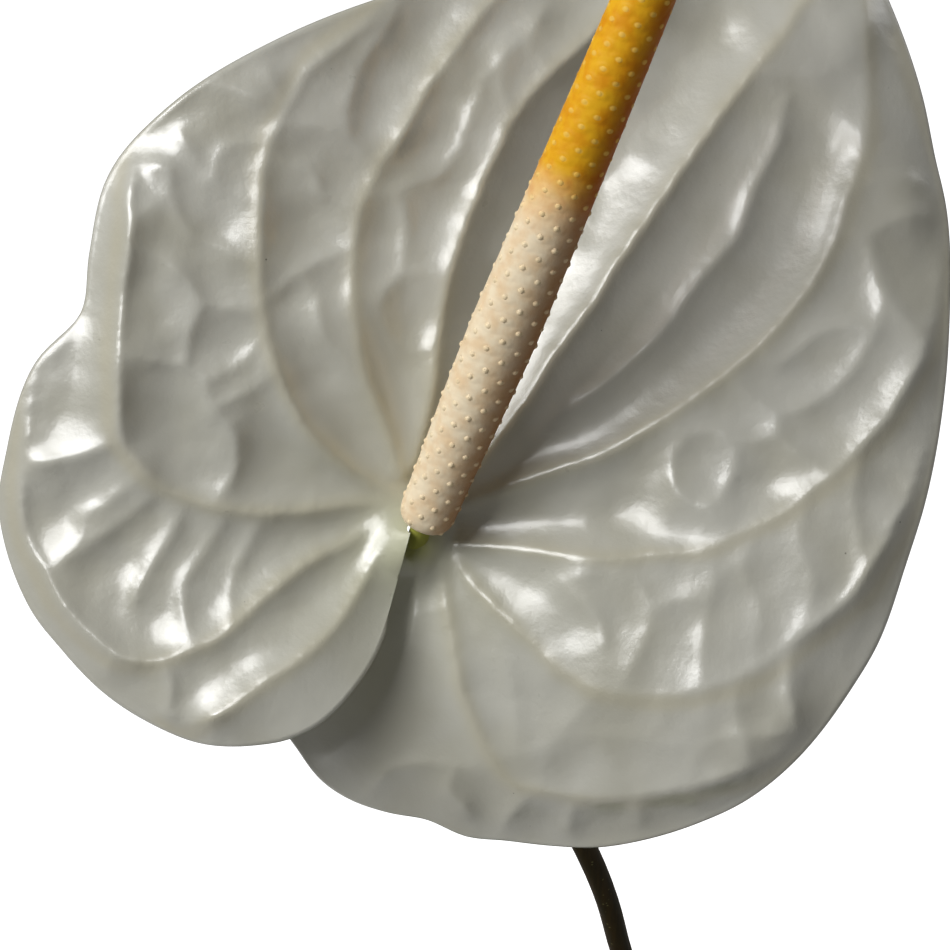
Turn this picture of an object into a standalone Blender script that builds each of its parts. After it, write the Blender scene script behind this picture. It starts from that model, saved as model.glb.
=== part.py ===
"""A potted anthurium: one white bloom over heart-shaped leaves, rooted in a plain clay pot.

Units are metres and +Z is up. The origin is the centre of the pot's underside. The leaves fan out
from a short crown in the middle of the pot. The flower stem leans to the back left, and the bloom
at its top turns its face up and forwards, towards -Y.
"""

import math

import bmesh
import bpy
from mathutils import Matrix, Vector

MM = 0.001
GAP = 0.3 * MM  # between two pieces that touch

# The pot, a plain tapered one with a collar.
POT_HEIGHT = 130 * MM
POT_BASE_RADIUS = 50 * MM
POT_NECK_RADIUS = 66 * MM
POT_WALL = 6 * MM
POT_FLOOR = 8 * MM
COLLAR_HEIGHT = 32 * MM
COLLAR_STEP = 6 * MM
EDGE_ROUND = 2 * MM
POT_SIDES = 40
DRAIN_RADIUS = 5 * MM
DRAIN_RING_RADIUS = 26 * MM
DRAIN_COUNT = 3

# The potting mix and the crown that the stalks grow from.
MIX_BELOW_RIM = 14 * MM
MIX_MOUND = 4 * MM
CROWN_RADIUS = 17 * MM
CROWN_ABOVE_MIX = 8 * MM
CROWN_BELOW_MIX = 16 * MM
STALK_RING_RADIUS = 11.5 * MM
STALK_HEEL = 3 * MM  # the upright start of each stalk

# The leaves. Each outline point is (angle from the tip, distance from the stalk over blade length).
LEAF_STEM_RADIUS = 2.1 * MM
LEAF_STEM_LEAN = 0.18  # how far a stalk leans out as it starts
LEAF_STEM_FOOT_SWELL = 0.45
LEAF_JOINT_SWELLS = [1.1, 1.35, 1.35, 1.05]  # the last points of the stalk, under the blade
LEAF_THICKNESS = 1.0 * MM
LEAF_NECK_RADIUS = 1.6 * MM
LEAF_OUTLINE = [
    (0, 1.0), (4, 0.9), (10, 0.8), (20, 0.69), (36, 0.575), (56, 0.505), (78, 0.46),
    (102, 0.435), (126, 0.405), (146, 0.365), (160, 0.3), (167, 0.2), (169, 0.09),
]
LEAF_SPOKES = 13
LEAF_RINGS = 4
LEAF_DROOP = 0.2  # how far the tip falls below a flat blade, over blade length
LEAF_TROUGH = 0.22  # how steeply each half rises from the midrib
LEAF_WAVE = 0.035  # the height of the margin's waves, over blade length
LEAF_WAVES = 5

# The bloom: its place over the crown, its turn, and the outline of its spathe. Each outline point is
# (angle from the tip, distance from the node in millimetres).
BLOOM_LEFT = 68 * MM
BLOOM_BACK = 28 * MM
BLOOM_RISE = 302 * MM
BLOOM_TILT = math.radians(42)
BLOOM_TURN = math.radians(34.3)
SPATHE_LENGTH = 110.5 * MM
SPATHE_THICKNESS = 1.2 * MM
SPATHE_LEFT_OUTLINE = [
    (0, 109), (6, 100), (13, 91), (23, 82.5), (38, 74), (57, 69.5), (69, 67), (79, 62), (87, 56),
    (95, 55.5), (106, 57.5), (122, 56.5), (135, 53), (152, 46.5), (170, 40), (184, 32.5), (194, 23),
    (198, 12),
]
SPATHE_RIGHT_OUTLINE = [
    (0, 109), (4, 105.5), (8, 101.5), (15, 96), (25, 88.5), (39, 79), (52, 73), (69, 68), (86, 63.5),
    (101, 58.5), (121, 50.5), (142, 43.5), (158, 41), (172, 37), (182, 32), (187, 22), (189, 10),
]
SPATHE_SPOKES = 27
SPATHE_RINGS = 7
SPATHE_FUNNEL = 5 * MM  # how deep the node sits below the open blade
SPATHE_FUNNEL_RADIUS = 18 * MM
SPATHE_MARGIN_FALL = 5 * MM  # how far the margin curls back
SPATHE_TIP_FALL = 6 * MM
SPATHE_MARGIN_START = 0.78  # the share of the way out where the curl starts
LOBE_START = math.radians(115)
LOBE_END = math.radians(195)
LOBE_LIFT = 6 * MM  # the left lobe lies over the right one
LOBE_DROP = 7 * MM
NODE_SPLIT = 1.8 * MM  # half the step between the lobes at the node

# The flower stem and the spadix.
FLOWER_STEM_RADIUS = 2.1 * MM
FLOWER_STEM_BASE_RADIUS = 2.9 * MM
FLOWER_STEM_LEAN = Vector((-0.1, 0.22, 0.97))  # how it starts from the crown
FLOWER_STEM_WAY = [Vector((36.9, 4.2, -114.8)) * MM, Vector((28.6, 2.3, -79.7)) * MM]  # from the node
FLOWER_STEM_BEND = 9 * MM  # how far under the node it starts to bend
SPATHE_NECK_RADIUS = 4.0 * MM  # wider than the stem, which crosses the neck aslant
SPATHE_NECK_CENTRE = Vector((-1.3, -2.1, 0)) * MM
SPADIX_LENGTH = 103 * MM
SPADIX_RADIUS = 4.6 * MM
SPADIX_BASE_RADIUS = 3.9 * MM
SPADIX_TIP_RADIUS = 3.1 * MM
SPADIX_SIDES = 14
SPADIX_TILT = math.radians(25)  # from the blade towards its front
SPADIX_TURN = math.radians(23.3)
STIPE_LENGTH = 3 * MM
STIPE_SIDESTEP = 1.5 * MM

# The leaves' places: (bearing, reach, rise over the crown, blade length, pitch, roll), in degrees
# and millimetres. A bearing of 0 is +X, and -90 is the front.
LEAVES = [
    (-80, 64, 142, 122, 40, 6),
    (-30, 72, 168, 126, 36, -8),
    (14, 78, 124, 112, 44, 10),
    (62, 60, 56, 80, 32, 0),
    (178, 70, 112, 108, 42, -8),
    (-132, 70, 92, 112, 34, 8),
]
FLOWER_STEM_BEARING = math.radians(132)

# The rolled young leaf in the middle, the papery sheaths and the aerial roots.
YOUNG_STEM_LENGTH = 62 * MM
YOUNG_STEM_RADIUS = 1.7 * MM
YOUNG_ROLL_LENGTH = 74 * MM
YOUNG_ROLL_RADIUS = 3.6 * MM
SHEATH_BEARINGS = [-52, 54, 156, -104]
SHEATH_HEIGHTS = [34 * MM, 28 * MM, 31 * MM, 25 * MM]
SHEATH_THICKNESS = 0.8 * MM
SHEATH_HALF_ANGLE = math.radians(15)
SHEATH_FLARE = 7 * MM
ROOT_BEARINGS = [5, 108, -158]
ROOT_REACHES = [13 * MM, 10 * MM, 15 * MM]
ROOT_RADIUS = 2.0 * MM

MIX_TOP = POT_HEIGHT - MIX_BELOW_RIM
CROWN_TOP = MIX_TOP + MIX_MOUND + CROWN_ABOVE_MIX
CROWN_FLOOR = MIX_TOP + MIX_MOUND - CROWN_BELOW_MIX


def clear_scene():
    """Removes every object that is there."""
    for found in list(bpy.data.objects):
        bpy.data.objects.remove(found)


def material(name, colour, roughness, metallic=0.0):
    """A Principled material of one colour."""
    made = bpy.data.materials.new(name)
    made.use_nodes = True
    shader = made.node_tree.nodes["Principled BSDF"]
    shader.inputs["Base Color"].default_value = (*colour, 1.0)
    shader.inputs["Roughness"].default_value = roughness
    shader.inputs["Metallic"].default_value = metallic
    return made


def add_mesh(name, shape, finish, placement=None):
    """Links a bmesh as a smooth-shaded object of that name."""
    bmesh.ops.recalc_face_normals(shape, faces=shape.faces)
    mesh = bpy.data.meshes.new(name)
    shape.to_mesh(mesh)
    shape.free()
    mesh.materials.append(finish)
    mesh.shade_smooth()
    mesh.set_sharp_from_angle(angle=math.radians(35))
    made = bpy.data.objects.new(name, mesh)
    made.matrix_world = placement or Matrix.Identity(4)
    bpy.context.scene.collection.objects.link(made)
    return made


def turned(profile, sides):
    """A body of revolution about Z from a profile of (radius, height), open at the axis or closed."""
    shape = bmesh.new()
    points = [shape.verts.new((radius, 0, height)) for radius, height in profile]
    closed = profile[0][0] > 0
    ends = points[1:] + points[:1] if closed else points[1:]
    edges = [shape.edges.new(pair) for pair in zip(points, ends)]
    bmesh.ops.spin(
        shape, geom=points + edges, axis=(0, 0, 1), cent=(0, 0, 0), steps=sides,
        angle=math.tau, use_merge=True,
    )
    bmesh.ops.remove_doubles(shape, verts=shape.verts, dist=MM / 100)
    return shape


def spline(points, steps):
    """A smooth curve through the points, with that many steps from each point to the next."""
    ends = [2 * points[0] - points[1], *points, 2 * points[-1] - points[-2]]
    made = []
    for before, start, end, after in zip(ends, ends[1:], ends[2:], ends[3:]):
        for step in range(steps):
            t = step / steps
            bend = 2 * before - 5 * start + 4 * end - after
            twist = 3 * start - before - 3 * end + after
            made.append(0.5 * (2 * start + (end - before) * t + bend * t * t + twist * t**3))
    return made + [points[-1]]


def bezier(start, start_pull, end_pull, end, steps):
    """Points along a cubic curve."""
    made = []
    for step in range(steps + 1):
        t = step / steps
        s = 1 - t
        made.append(s**3 * start + 3 * s * s * t * start_pull + 3 * s * t * t * end_pull + t**3 * end)
    return made


def stalk(name, points, radii, finish, roundness=2):
    """A round stalk along the points, with a radius at each of them and flat ends."""
    line = bpy.data.curves.new(name, "CURVE")
    line.dimensions = "3D"
    line.bevel_depth = max(radii)
    line.bevel_resolution = roundness
    line.use_fill_caps = True
    run = line.splines.new("POLY")
    run.points.add(len(points) - 1)
    for place, point, radius in zip(run.points, points, radii):
        place.co = (*point, 1)
        place.radius = radius / max(radii)
    line.materials.append(finish)
    made = bpy.data.objects.new(name, line)
    bpy.context.scene.collection.objects.link(made)
    return made


def bearing(angle):
    """The level direction at that angle from +X, in radians."""
    return Vector((math.cos(angle), math.sin(angle), 0))


def ease(low, high, value):
    """0 up to low, 1 from high on, and smooth between."""
    t = min(1, max(0, (value - low) / (high - low)))
    return t * t * (3 - 2 * t)


def frame_at(origin, along, front):
    """The placement whose X runs along, whose Z is the front, and whose Y completes them."""
    across = front.cross(along)
    made = Matrix((along, across, front)).transposed().to_4x4()
    made.translation = origin
    return made


def half_outline(points, scale, side, steps):
    """One side of a blade's outline, from the tip to the sinus, as (turn, point) pairs."""
    corners = [
        Vector((math.cos(math.radians(a)), side * math.sin(math.radians(a)), 0)) * r * scale
        for a, r in points
    ]
    turns = [Vector((side * math.radians(a), 0, 0)) for a, _ in points]
    whole = spline(corners, 4)
    angles = spline(turns, 4)
    last = len(whole) - 1
    picked = [round(last * step / (steps - 1)) for step in range(steps)]
    return [(angles[index].x, whole[index]) for index in picked]


def blade(name, outline, neck, height, rings, thickness, finish, placement):
    """A thin blade: spokes from a small neck (centre, radius) out to the outline, lifted by height."""
    shape = bmesh.new()
    spokes = []
    for turn, edge in outline:
        start = neck[0] + bearing(turn) * neck[1]
        spoke = []
        for ring in range(rings + 1):
            share = ring / rings
            point = start.lerp(edge, share)
            point.z = height(turn, share, point)
            spoke.append(shape.verts.new(point))
        spokes.append(spoke)
    for first, second in zip(spokes, spokes[1:]):
        for inner in range(rings):
            shape.faces.new((first[inner], first[inner + 1], second[inner + 1], second[inner]))
    made = add_mesh(name, shape, finish, placement)
    facing = sum((face.normal * face.area for face in made.data.polygons), Vector())
    if facing.z < 0:
        made.data.flip_normals()
    wall = made.modifiers.new("thickness", "SOLIDIFY")
    wall.thickness = thickness
    wall.offset = -1
    return made


def inner_radius(height):
    """The pot's inner radius at that height."""
    slope = (POT_NECK_RADIUS - POT_BASE_RADIUS) / (POT_HEIGHT - COLLAR_HEIGHT)
    return POT_BASE_RADIUS + slope * height - POT_WALL


def build_pot(clay):
    """The pot, turned in one piece, with drain holes through its floor."""
    neck = POT_HEIGHT - COLLAR_HEIGHT
    rim_radius = inner_radius(POT_HEIGHT) + POT_WALL + COLLAR_STEP
    collar_radius = POT_NECK_RADIUS + COLLAR_STEP
    profile = [
        (0, 0),
        (POT_BASE_RADIUS - EDGE_ROUND, 0),
        (POT_BASE_RADIUS, EDGE_ROUND),
        (POT_NECK_RADIUS, neck),
        (collar_radius - EDGE_ROUND / 2, neck),
        (collar_radius, neck + EDGE_ROUND),
        (rim_radius, POT_HEIGHT - EDGE_ROUND),
        (rim_radius - EDGE_ROUND, POT_HEIGHT),
        (inner_radius(POT_HEIGHT) + EDGE_ROUND, POT_HEIGHT),
        (inner_radius(POT_HEIGHT), POT_HEIGHT - EDGE_ROUND),
        (inner_radius(POT_FLOOR + EDGE_ROUND), POT_FLOOR + EDGE_ROUND),
        (inner_radius(POT_FLOOR) - EDGE_ROUND, POT_FLOOR),
        (0, POT_FLOOR),
    ]
    pot = add_mesh("pot", turned(profile, POT_SIDES), clay)
    for index in range(DRAIN_COUNT):
        drill = bmesh.new()
        bmesh.ops.create_cone(
            drill, cap_ends=True, segments=12, radius1=DRAIN_RADIUS, radius2=DRAIN_RADIUS,
            depth=3 * POT_FLOOR,
        )
        place = bearing(math.tau * index / DRAIN_COUNT) * DRAIN_RING_RADIUS
        cutter = add_mesh(f"drain_cutter_{index + 1}", drill, clay, Matrix.Translation(place))
        cutter.hide_render = True
        cutter.display_type = "WIRE"
        hole = pot.modifiers.new(cutter.name, "BOOLEAN")
        hole.object = cutter


def build_mix(soil):
    """The potting mix: it fills the pot, mounds up to the crown and leaves a pocket for it."""
    foot = POT_FLOOR + GAP
    corner = EDGE_ROUND + GAP
    profile = [
        (0, foot),
        (inner_radius(foot) - corner, foot),
        (inner_radius(foot + corner) - GAP, foot + corner),
        (inner_radius(MIX_TOP) - GAP, MIX_TOP),
        (inner_radius(MIX_TOP) - GAP - MIX_BELOW_RIM, MIX_TOP + MIX_MOUND / 2),
        (CROWN_RADIUS + GAP, MIX_TOP + MIX_MOUND),
        (CROWN_RADIUS + GAP, CROWN_FLOOR - GAP),
        (0, CROWN_FLOOR - GAP),
    ]
    add_mesh("potting_mix", turned(profile, POT_SIDES), soil)


def build_crown(bark):
    """The short woody stem that stands in the mix and carries every stalk on its top."""
    waist = (CROWN_TOP + CROWN_FLOOR) / 2
    profile = [
        (0, CROWN_FLOOR),
        (CROWN_RADIUS * 0.8, CROWN_FLOOR),
        (CROWN_RADIUS, waist),
        (CROWN_RADIUS, CROWN_TOP - EDGE_ROUND),
        (CROWN_RADIUS - EDGE_ROUND, CROWN_TOP),
        (0, CROWN_TOP),
    ]
    add_mesh("crown", turned(profile, 20), bark)


def stalk_foot(angle):
    """Where a stalk at that bearing stands on the crown."""
    foot = bearing(angle) * STALK_RING_RADIUS
    foot.z = CROWN_TOP + GAP
    return foot


def leaf_frame(angle, reach, rise, pitch, roll):
    """A leaf blade's placement: X towards its tip, Z its upper face."""
    outward = bearing(angle)
    up = Vector((0, 0, 1))
    base = outward * reach
    base.z = CROWN_TOP + rise
    along = outward * math.cos(pitch) - up * math.sin(pitch)
    front = outward * math.sin(pitch) + up * math.cos(pitch)
    front = Matrix.Rotation(roll, 3, along) @ front
    return frame_at(base, along, front)


def build_leaf(number, place, blade_green, stem_green):
    """One leaf: its stalk, with the swollen joint under the blade, and its heart-shaped blade."""
    angle, reach, rise, length, pitch, roll = place
    angle, pitch, roll = (math.radians(v) for v in (angle, pitch, roll))
    reach, rise, length = (v * MM for v in (reach, rise, length))
    placement = leaf_frame(angle, reach, rise, pitch, roll)
    base, front = placement.translation, placement.col[2].to_3d()

    foot = stalk_foot(angle)
    heel = foot + Vector((0, 0, STALK_HEEL))
    head = base - front * (LEAF_THICKNESS + GAP)
    run = (head - heel).length
    lean = (Vector((0, 0, 1)) + bearing(angle) * LEAF_STEM_LEAN).normalized()
    points = [foot] + bezier(heel, heel + lean * run * 0.45, head - front * run * 0.3, head, 11)
    plain = len(points) - len(LEAF_JOINT_SWELLS)
    swells = [1 + LEAF_STEM_FOOT_SWELL * max(0, 1 - step / 5) for step in range(plain)]
    radii = [LEAF_STEM_RADIUS * swell for swell in swells + LEAF_JOINT_SWELLS]
    stalk(f"leaf_stem_{number}", points, radii, stem_green)

    def height(turn, share, point):
        """A trough along the midrib, a tip that droops and lobes that lift a little."""
        fold = math.hypot(point.y, length * 0.06) - length * 0.06
        droop = LEAF_DROOP * max(0, point.x) ** 2 / length
        edge = LEAF_WAVE * length * math.sin(LEAF_WAVES * turn) * share**3
        return LEAF_TROUGH * fold * (1 - 0.6 * share * share) - droop + edge

    left = half_outline(LEAF_OUTLINE, length, 1, LEAF_SPOKES)
    right = half_outline(LEAF_OUTLINE, length, -1, LEAF_SPOKES)
    blade(
        f"leaf_blade_{number}", left[::-1] + right[1:], (Vector(), LEAF_NECK_RADIUS), height,
        LEAF_RINGS, LEAF_THICKNESS, blade_green, placement,
    )


def bloom_frame():
    """The bloom's placement at its node: X towards the spathe's tip, Z its front."""
    node = Vector((-BLOOM_LEFT, BLOOM_BACK, CROWN_TOP + BLOOM_RISE))
    upward = Vector((0, math.sin(BLOOM_TILT), math.cos(BLOOM_TILT)))
    front = Vector((0, -math.cos(BLOOM_TILT), math.sin(BLOOM_TILT)))
    along = upward * math.cos(BLOOM_TURN) + Vector((1, 0, 0)) * math.sin(BLOOM_TURN)
    return frame_at(node, along, front)


def spathe_height(turn, share, point):
    """The spathe's gentle funnel, its curled margin and tip, and its overlapping lobes."""
    away = point.xy.length
    funnel = SPATHE_FUNNEL * (1 - math.exp(-((away / SPATHE_FUNNEL_RADIUS) ** 2)))
    margin = SPATHE_MARGIN_FALL * ease(SPATHE_MARGIN_START, 1.05, share)
    tip = SPATHE_TIP_FALL * max(0, point.x / SPATHE_LENGTH) ** 4
    out = away / (SPATHE_LENGTH / 3)
    lift = LOBE_LIFT * ease(LOBE_START, LOBE_END, turn) * out
    drop = LOBE_DROP * ease(LOBE_START, LOBE_END, -turn) * out
    split = NODE_SPLIT * turn / LOBE_END
    return funnel - margin - tip + lift - drop + split


def build_spathe(white):
    """The white heart-shaped spathe, open at its neck where the stem passes."""
    scale = SPATHE_LENGTH / SPATHE_LEFT_OUTLINE[0][1]
    left = half_outline(SPATHE_LEFT_OUTLINE, scale, 1, SPATHE_SPOKES)
    right = half_outline(SPATHE_RIGHT_OUTLINE, scale, -1, SPATHE_SPOKES)
    blade(
        "spathe", left[::-1] + right[1:], (SPATHE_NECK_CENTRE, SPATHE_NECK_RADIUS), spathe_height,
        SPATHE_RINGS, SPATHE_THICKNESS, white, bloom_frame(),
    )


def spadix_direction():
    """The way that the spadix points, up along the spathe and out from it."""
    upward = Vector((0, math.sin(BLOOM_TILT), math.cos(BLOOM_TILT)))
    front = Vector((0, -math.cos(BLOOM_TILT), math.sin(BLOOM_TILT)))
    flat = upward * math.cos(SPADIX_TURN) + Vector((1, 0, 0)) * math.sin(SPADIX_TURN)
    return flat * math.cos(SPADIX_TILT) + front * math.sin(SPADIX_TILT)


def stem_head():
    """Where the flower stem ends, in front of the spathe, as (place, direction)."""
    placement = bloom_frame()
    node, front = placement.translation, placement.col[2].to_3d()
    direction = spadix_direction()
    sidestep = Vector((STIPE_SIDESTEP, 0, 0))
    return node + front * STIPE_LENGTH + sidestep + direction * 2 * MM, direction


def build_flower_stem(green):
    """The long stem: up from the crown, through the spathe's neck and round to the spadix."""
    node = bloom_frame().translation
    head, direction = stem_head()
    foot = stalk_foot(FLOWER_STEM_BEARING)
    heel = foot + Vector((0, 0, STALK_HEEL))
    low, middle = (node + step for step in FLOWER_STEM_WAY)
    run = (low - heel).length
    along = (middle - low).normalized()
    pull = FLOWER_STEM_LEAN * run * 0.4
    lower = [foot] + bezier(heel, heel + pull, low - along * run * 0.35, low, 9)
    climb = (node - middle).normalized()
    neck = node - climb * FLOWER_STEM_BEND
    bend = head - direction * MM
    reach = FLOWER_STEM_BEND * 0.55
    bow = bezier(neck, neck + climb * reach, bend - direction * reach, bend, 6)
    points = lower + [middle] + bow + [head]
    radii = []
    for point in points:
        taper = ease(foot.z, foot.z + BLOOM_RISE * 0.4, point.z)
        radii.append(FLOWER_STEM_BASE_RADIUS + (FLOWER_STEM_RADIUS - FLOWER_STEM_BASE_RADIUS) * taper)
    stalk("flower_stem", points, radii, green, roundness=3)


def build_spadix(cream):
    """The spadix: a slim round club with a blunt foot and a rounded tip."""
    head, direction = stem_head()
    profile = [(0, 0), (SPADIX_BASE_RADIUS * 0.62, 0), (SPADIX_BASE_RADIUS * 0.9, 1.6 * MM)]
    belly, shoulder = 0.32, SPADIX_LENGTH - SPADIX_TIP_RADIUS * 1.6
    for step in range(1, 13):
        height = 4 * MM + (shoulder - 4 * MM) * (step - 1) / 11
        share = height / SPADIX_LENGTH
        if share < belly:
            radius = SPADIX_BASE_RADIUS + (SPADIX_RADIUS - SPADIX_BASE_RADIUS) * ease(0, belly, share)
        else:
            radius = SPADIX_RADIUS + (SPADIX_TIP_RADIUS - SPADIX_RADIUS) * (share - belly) / (1 - belly)
        profile.append((radius, height))
    cap_radius = profile[-1][0]
    for angle in (30, 60):
        turn = math.radians(angle)
        rise = (SPADIX_LENGTH - shoulder) * math.sin(turn)
        profile.append((cap_radius * math.cos(turn), shoulder + rise))
    profile.append((0, SPADIX_LENGTH))
    turn = direction.to_track_quat("Z", "Y").to_matrix().to_4x4()
    placement = Matrix.Translation(head + direction * GAP) @ turn
    add_mesh("spadix", turned(profile, SPADIX_SIDES), cream, placement)


def build_young_leaf(green):
    """The newest leaf, still rolled, on its own upright stalk."""
    foot = Vector((0, 0, CROWN_TOP + GAP))
    lean = Vector((0.06, -0.1, 1)).normalized()
    head = foot + lean * YOUNG_STEM_LENGTH
    points = bezier(foot, foot + Vector((0, 0, YOUNG_STEM_LENGTH * 0.4)), head.lerp(foot, 0.3), head, 6)
    stalk("young_leaf_stem", points, [YOUNG_STEM_RADIUS] * len(points), green)
    direction = (points[-1] - points[-2]).normalized()
    start = head + direction * GAP
    roll = [start + direction * YOUNG_ROLL_LENGTH * step / 8 for step in range(9)]
    swell = [0.5, 0.82, 1, 1, 0.9, 0.74, 0.54, 0.34, 0.12]
    stalk("young_leaf_roll", roll, [YOUNG_ROLL_RADIUS * share for share in swell], green)


def build_sheath(number, angle, height, brown):
    """A dry papery sheath that stands against the crown between two stalks."""
    shape = bmesh.new()
    rows = []
    for row in range(5):
        share = row / 4
        radius = CROWN_RADIUS + GAP + SHEATH_THICKNESS + SHEATH_FLARE * share**1.5
        half = SHEATH_HALF_ANGLE * (1 - 0.8 * share * share)
        z = MIX_TOP + MIX_MOUND + 2 * GAP + height * share
        line = []
        for step in range(5):
            turn = angle + half * (step / 2 - 1)
            line.append(shape.verts.new((radius * math.cos(turn), radius * math.sin(turn), z)))
        rows.append(line)
    for lower, upper in zip(rows, rows[1:]):
        for step in range(4):
            shape.faces.new((lower[step], lower[step + 1], upper[step + 1], upper[step]))
    made = add_mesh(f"sheath_{number}", shape, brown)
    centre = bearing(angle)
    facing = sum((face.normal * face.area for face in made.data.polygons), Vector())
    if facing.dot(centre) < 0:
        made.data.flip_normals()
    wall = made.modifiers.new("thickness", "SOLIDIFY")
    wall.thickness = SHEATH_THICKNESS
    wall.offset = -1


def build_root(number, angle, reach, tan):
    """An aerial root that leaves the crown's side and turns down to the mix."""
    outward = bearing(angle)
    start = outward * (CROWN_RADIUS + GAP) + Vector((0, 0, CROWN_TOP - EDGE_ROUND - ROOT_RADIUS))
    end = outward * (CROWN_RADIUS + reach) + Vector((0, 0, MIX_TOP + MIX_MOUND - GAP))
    bow = start + outward * reach * 0.8
    points = bezier(start, bow, end + Vector((0, 0, CROWN_ABOVE_MIX * 0.6)), end, 6)
    radii = [ROOT_RADIUS * (1 - 0.3 * step / 6) for step in range(7)]
    stalk(f"aerial_root_{number}", points, radii, tan)


def main():
    """Builds the whole plant in its pot."""
    clear_scene()
    clay = material("clay", (0.52, 0.21, 0.1), 0.85)
    soil = material("potting_mix", (0.07, 0.045, 0.03), 0.95)
    bark = material("crown_bark", (0.2, 0.19, 0.08), 0.8)
    blade_green = material("leaf_green", (0.02, 0.09, 0.02), 0.3)
    stem_green = material("stem_green", (0.09, 0.16, 0.04), 0.45)
    young_green = material("young_green", (0.2, 0.3, 0.07), 0.35)
    white = material("spathe_white", (0.86, 0.86, 0.8), 0.28)
    cream = material("spadix_cream", (0.85, 0.6, 0.3), 0.5)
    brown = material("sheath_brown", (0.3, 0.18, 0.08), 0.8)
    tan = material("root_tan", (0.42, 0.36, 0.2), 0.7)

    build_pot(clay)
    build_mix(soil)
    build_crown(bark)
    for number, place in enumerate(LEAVES, 1):
        build_leaf(number, place, blade_green, stem_green)
    build_young_leaf(young_green)
    build_flower_stem(stem_green)
    build_spathe(white)
    build_spadix(cream)
    for number, (angle, height) in enumerate(zip(SHEATH_BEARINGS, SHEATH_HEIGHTS), 1):
        build_sheath(number, math.radians(angle), height, brown)
    for number, (angle, reach) in enumerate(zip(ROOT_BEARINGS, ROOT_REACHES), 1):
        build_root(number, math.radians(angle), reach, tan)


main()
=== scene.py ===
"""The looks of a potted anthurium: one white bloom over heart-shaped leaves, in a plain clay pot.

Units are metres and +Z is up. Each sub-assembly is a class that builds its own pieces, and each finish
is a small frozen class that paints one material. Drawn shapes of the bloom and the leaves are in
millimetres. The bloom's lie on the flat plane through its node: +X to the bloom's right, +Y up it and
+Z out of its face.
"""

import logging
import math
from dataclasses import dataclass, field
from enum import Enum
from typing import Any, Callable, Iterable, Sequence

import bpy
import numpy as np
from mathutils import Matrix, Vector


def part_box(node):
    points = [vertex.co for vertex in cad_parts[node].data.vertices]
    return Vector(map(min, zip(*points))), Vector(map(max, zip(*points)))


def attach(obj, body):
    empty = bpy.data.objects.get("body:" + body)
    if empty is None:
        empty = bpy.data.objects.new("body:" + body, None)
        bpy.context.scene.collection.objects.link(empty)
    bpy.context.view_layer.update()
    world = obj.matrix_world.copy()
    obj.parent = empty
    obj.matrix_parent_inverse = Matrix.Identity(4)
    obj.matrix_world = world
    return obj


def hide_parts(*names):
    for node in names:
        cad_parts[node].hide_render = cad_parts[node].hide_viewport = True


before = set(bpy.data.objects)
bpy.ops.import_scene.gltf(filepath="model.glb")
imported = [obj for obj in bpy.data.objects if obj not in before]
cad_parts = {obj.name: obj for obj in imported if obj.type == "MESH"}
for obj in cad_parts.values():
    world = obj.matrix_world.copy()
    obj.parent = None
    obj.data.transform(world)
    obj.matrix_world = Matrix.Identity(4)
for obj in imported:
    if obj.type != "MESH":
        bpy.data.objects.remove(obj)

MM = 0.001
ROOT_BODY = "root"
log = logging.getLogger("anthurium")

Colour = tuple[float, float, float]
UP = Vector((0, 0, 1))
GOLDEN = 2 - (1 + math.sqrt(5)) / 2  # the share of a turn from one flower of the spadix to the next
CROWN_RADIUS = 17 * MM
STALK_RING = 11.5 * MM
HEEL = 3 * MM


# ---------------------------------------------------------------- shader maths and materials


class Value:
    """A shader value. Python arithmetic on it adds the Math nodes that work it out."""

    def __init__(self, graph: "Graph", socket: bpy.types.NodeSocket) -> None:
        """Wraps one output socket.

        Args:
            graph: The material that the socket belongs to.
            socket: The output to wrap.
        """
        self.graph = graph
        self.socket = socket

    def math(self, operation: str, *others: "Value | float") -> "Value":
        """Adds one Math node with this value first.

        Args:
            operation: The Math node's operation.
            others: Its other inputs.

        Returns:
            The node's result.
        """
        inputs = dict(enumerate((self, *others)))
        return self.graph.node("ShaderNodeMath", {"operation": operation}, inputs)

    def __add__(self, other: "Value | float") -> "Value":
        """Returns self + other."""
        return self.math("ADD", other)

    __radd__ = __add__

    def __mul__(self, other: "Value | float") -> "Value":
        """Returns self * other."""
        return self.math("MULTIPLY", other)

    __rmul__ = __mul__

    def __sub__(self, other: "Value | float") -> "Value":
        """Returns self - other."""
        return self.math("SUBTRACT", other)

    def __rsub__(self, other: float) -> "Value":
        """Returns other - self."""
        return self.graph.node("ShaderNodeMath", {"operation": "SUBTRACT"}, {0: other, 1: self})

    def __truediv__(self, other: "Value | float") -> "Value":
        """Returns self / other."""
        return self.math("DIVIDE", other)

    def absolute(self) -> "Value":
        """Returns the value without its sign."""
        return self.math("ABSOLUTE")

    def nearest(self) -> "Value":
        """Returns how far the value is from the nearest whole number, from -0.5 to 0.5."""
        return self - self.math("ROUND")

    def between(self, low: float, high: float) -> "Value":
        """Returns 0 up to low, 1 from high on, and a smooth rise between them.

        Args:
            low: Where the rise starts.
            high: Where it ends. It may be under low, for a fall.

        Returns:
            The share, from 0 to 1.
        """
        span = {"From Min": low, "From Max": high, "Value": self}
        if low > high:
            span = {"From Min": high, "From Max": low, "Value": self, "To Min": 1.0, "To Max": 0.0}
        return self.graph.node("ShaderNodeMapRange", {"interpolation_type": "SMOOTHSTEP"}, span)


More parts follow.
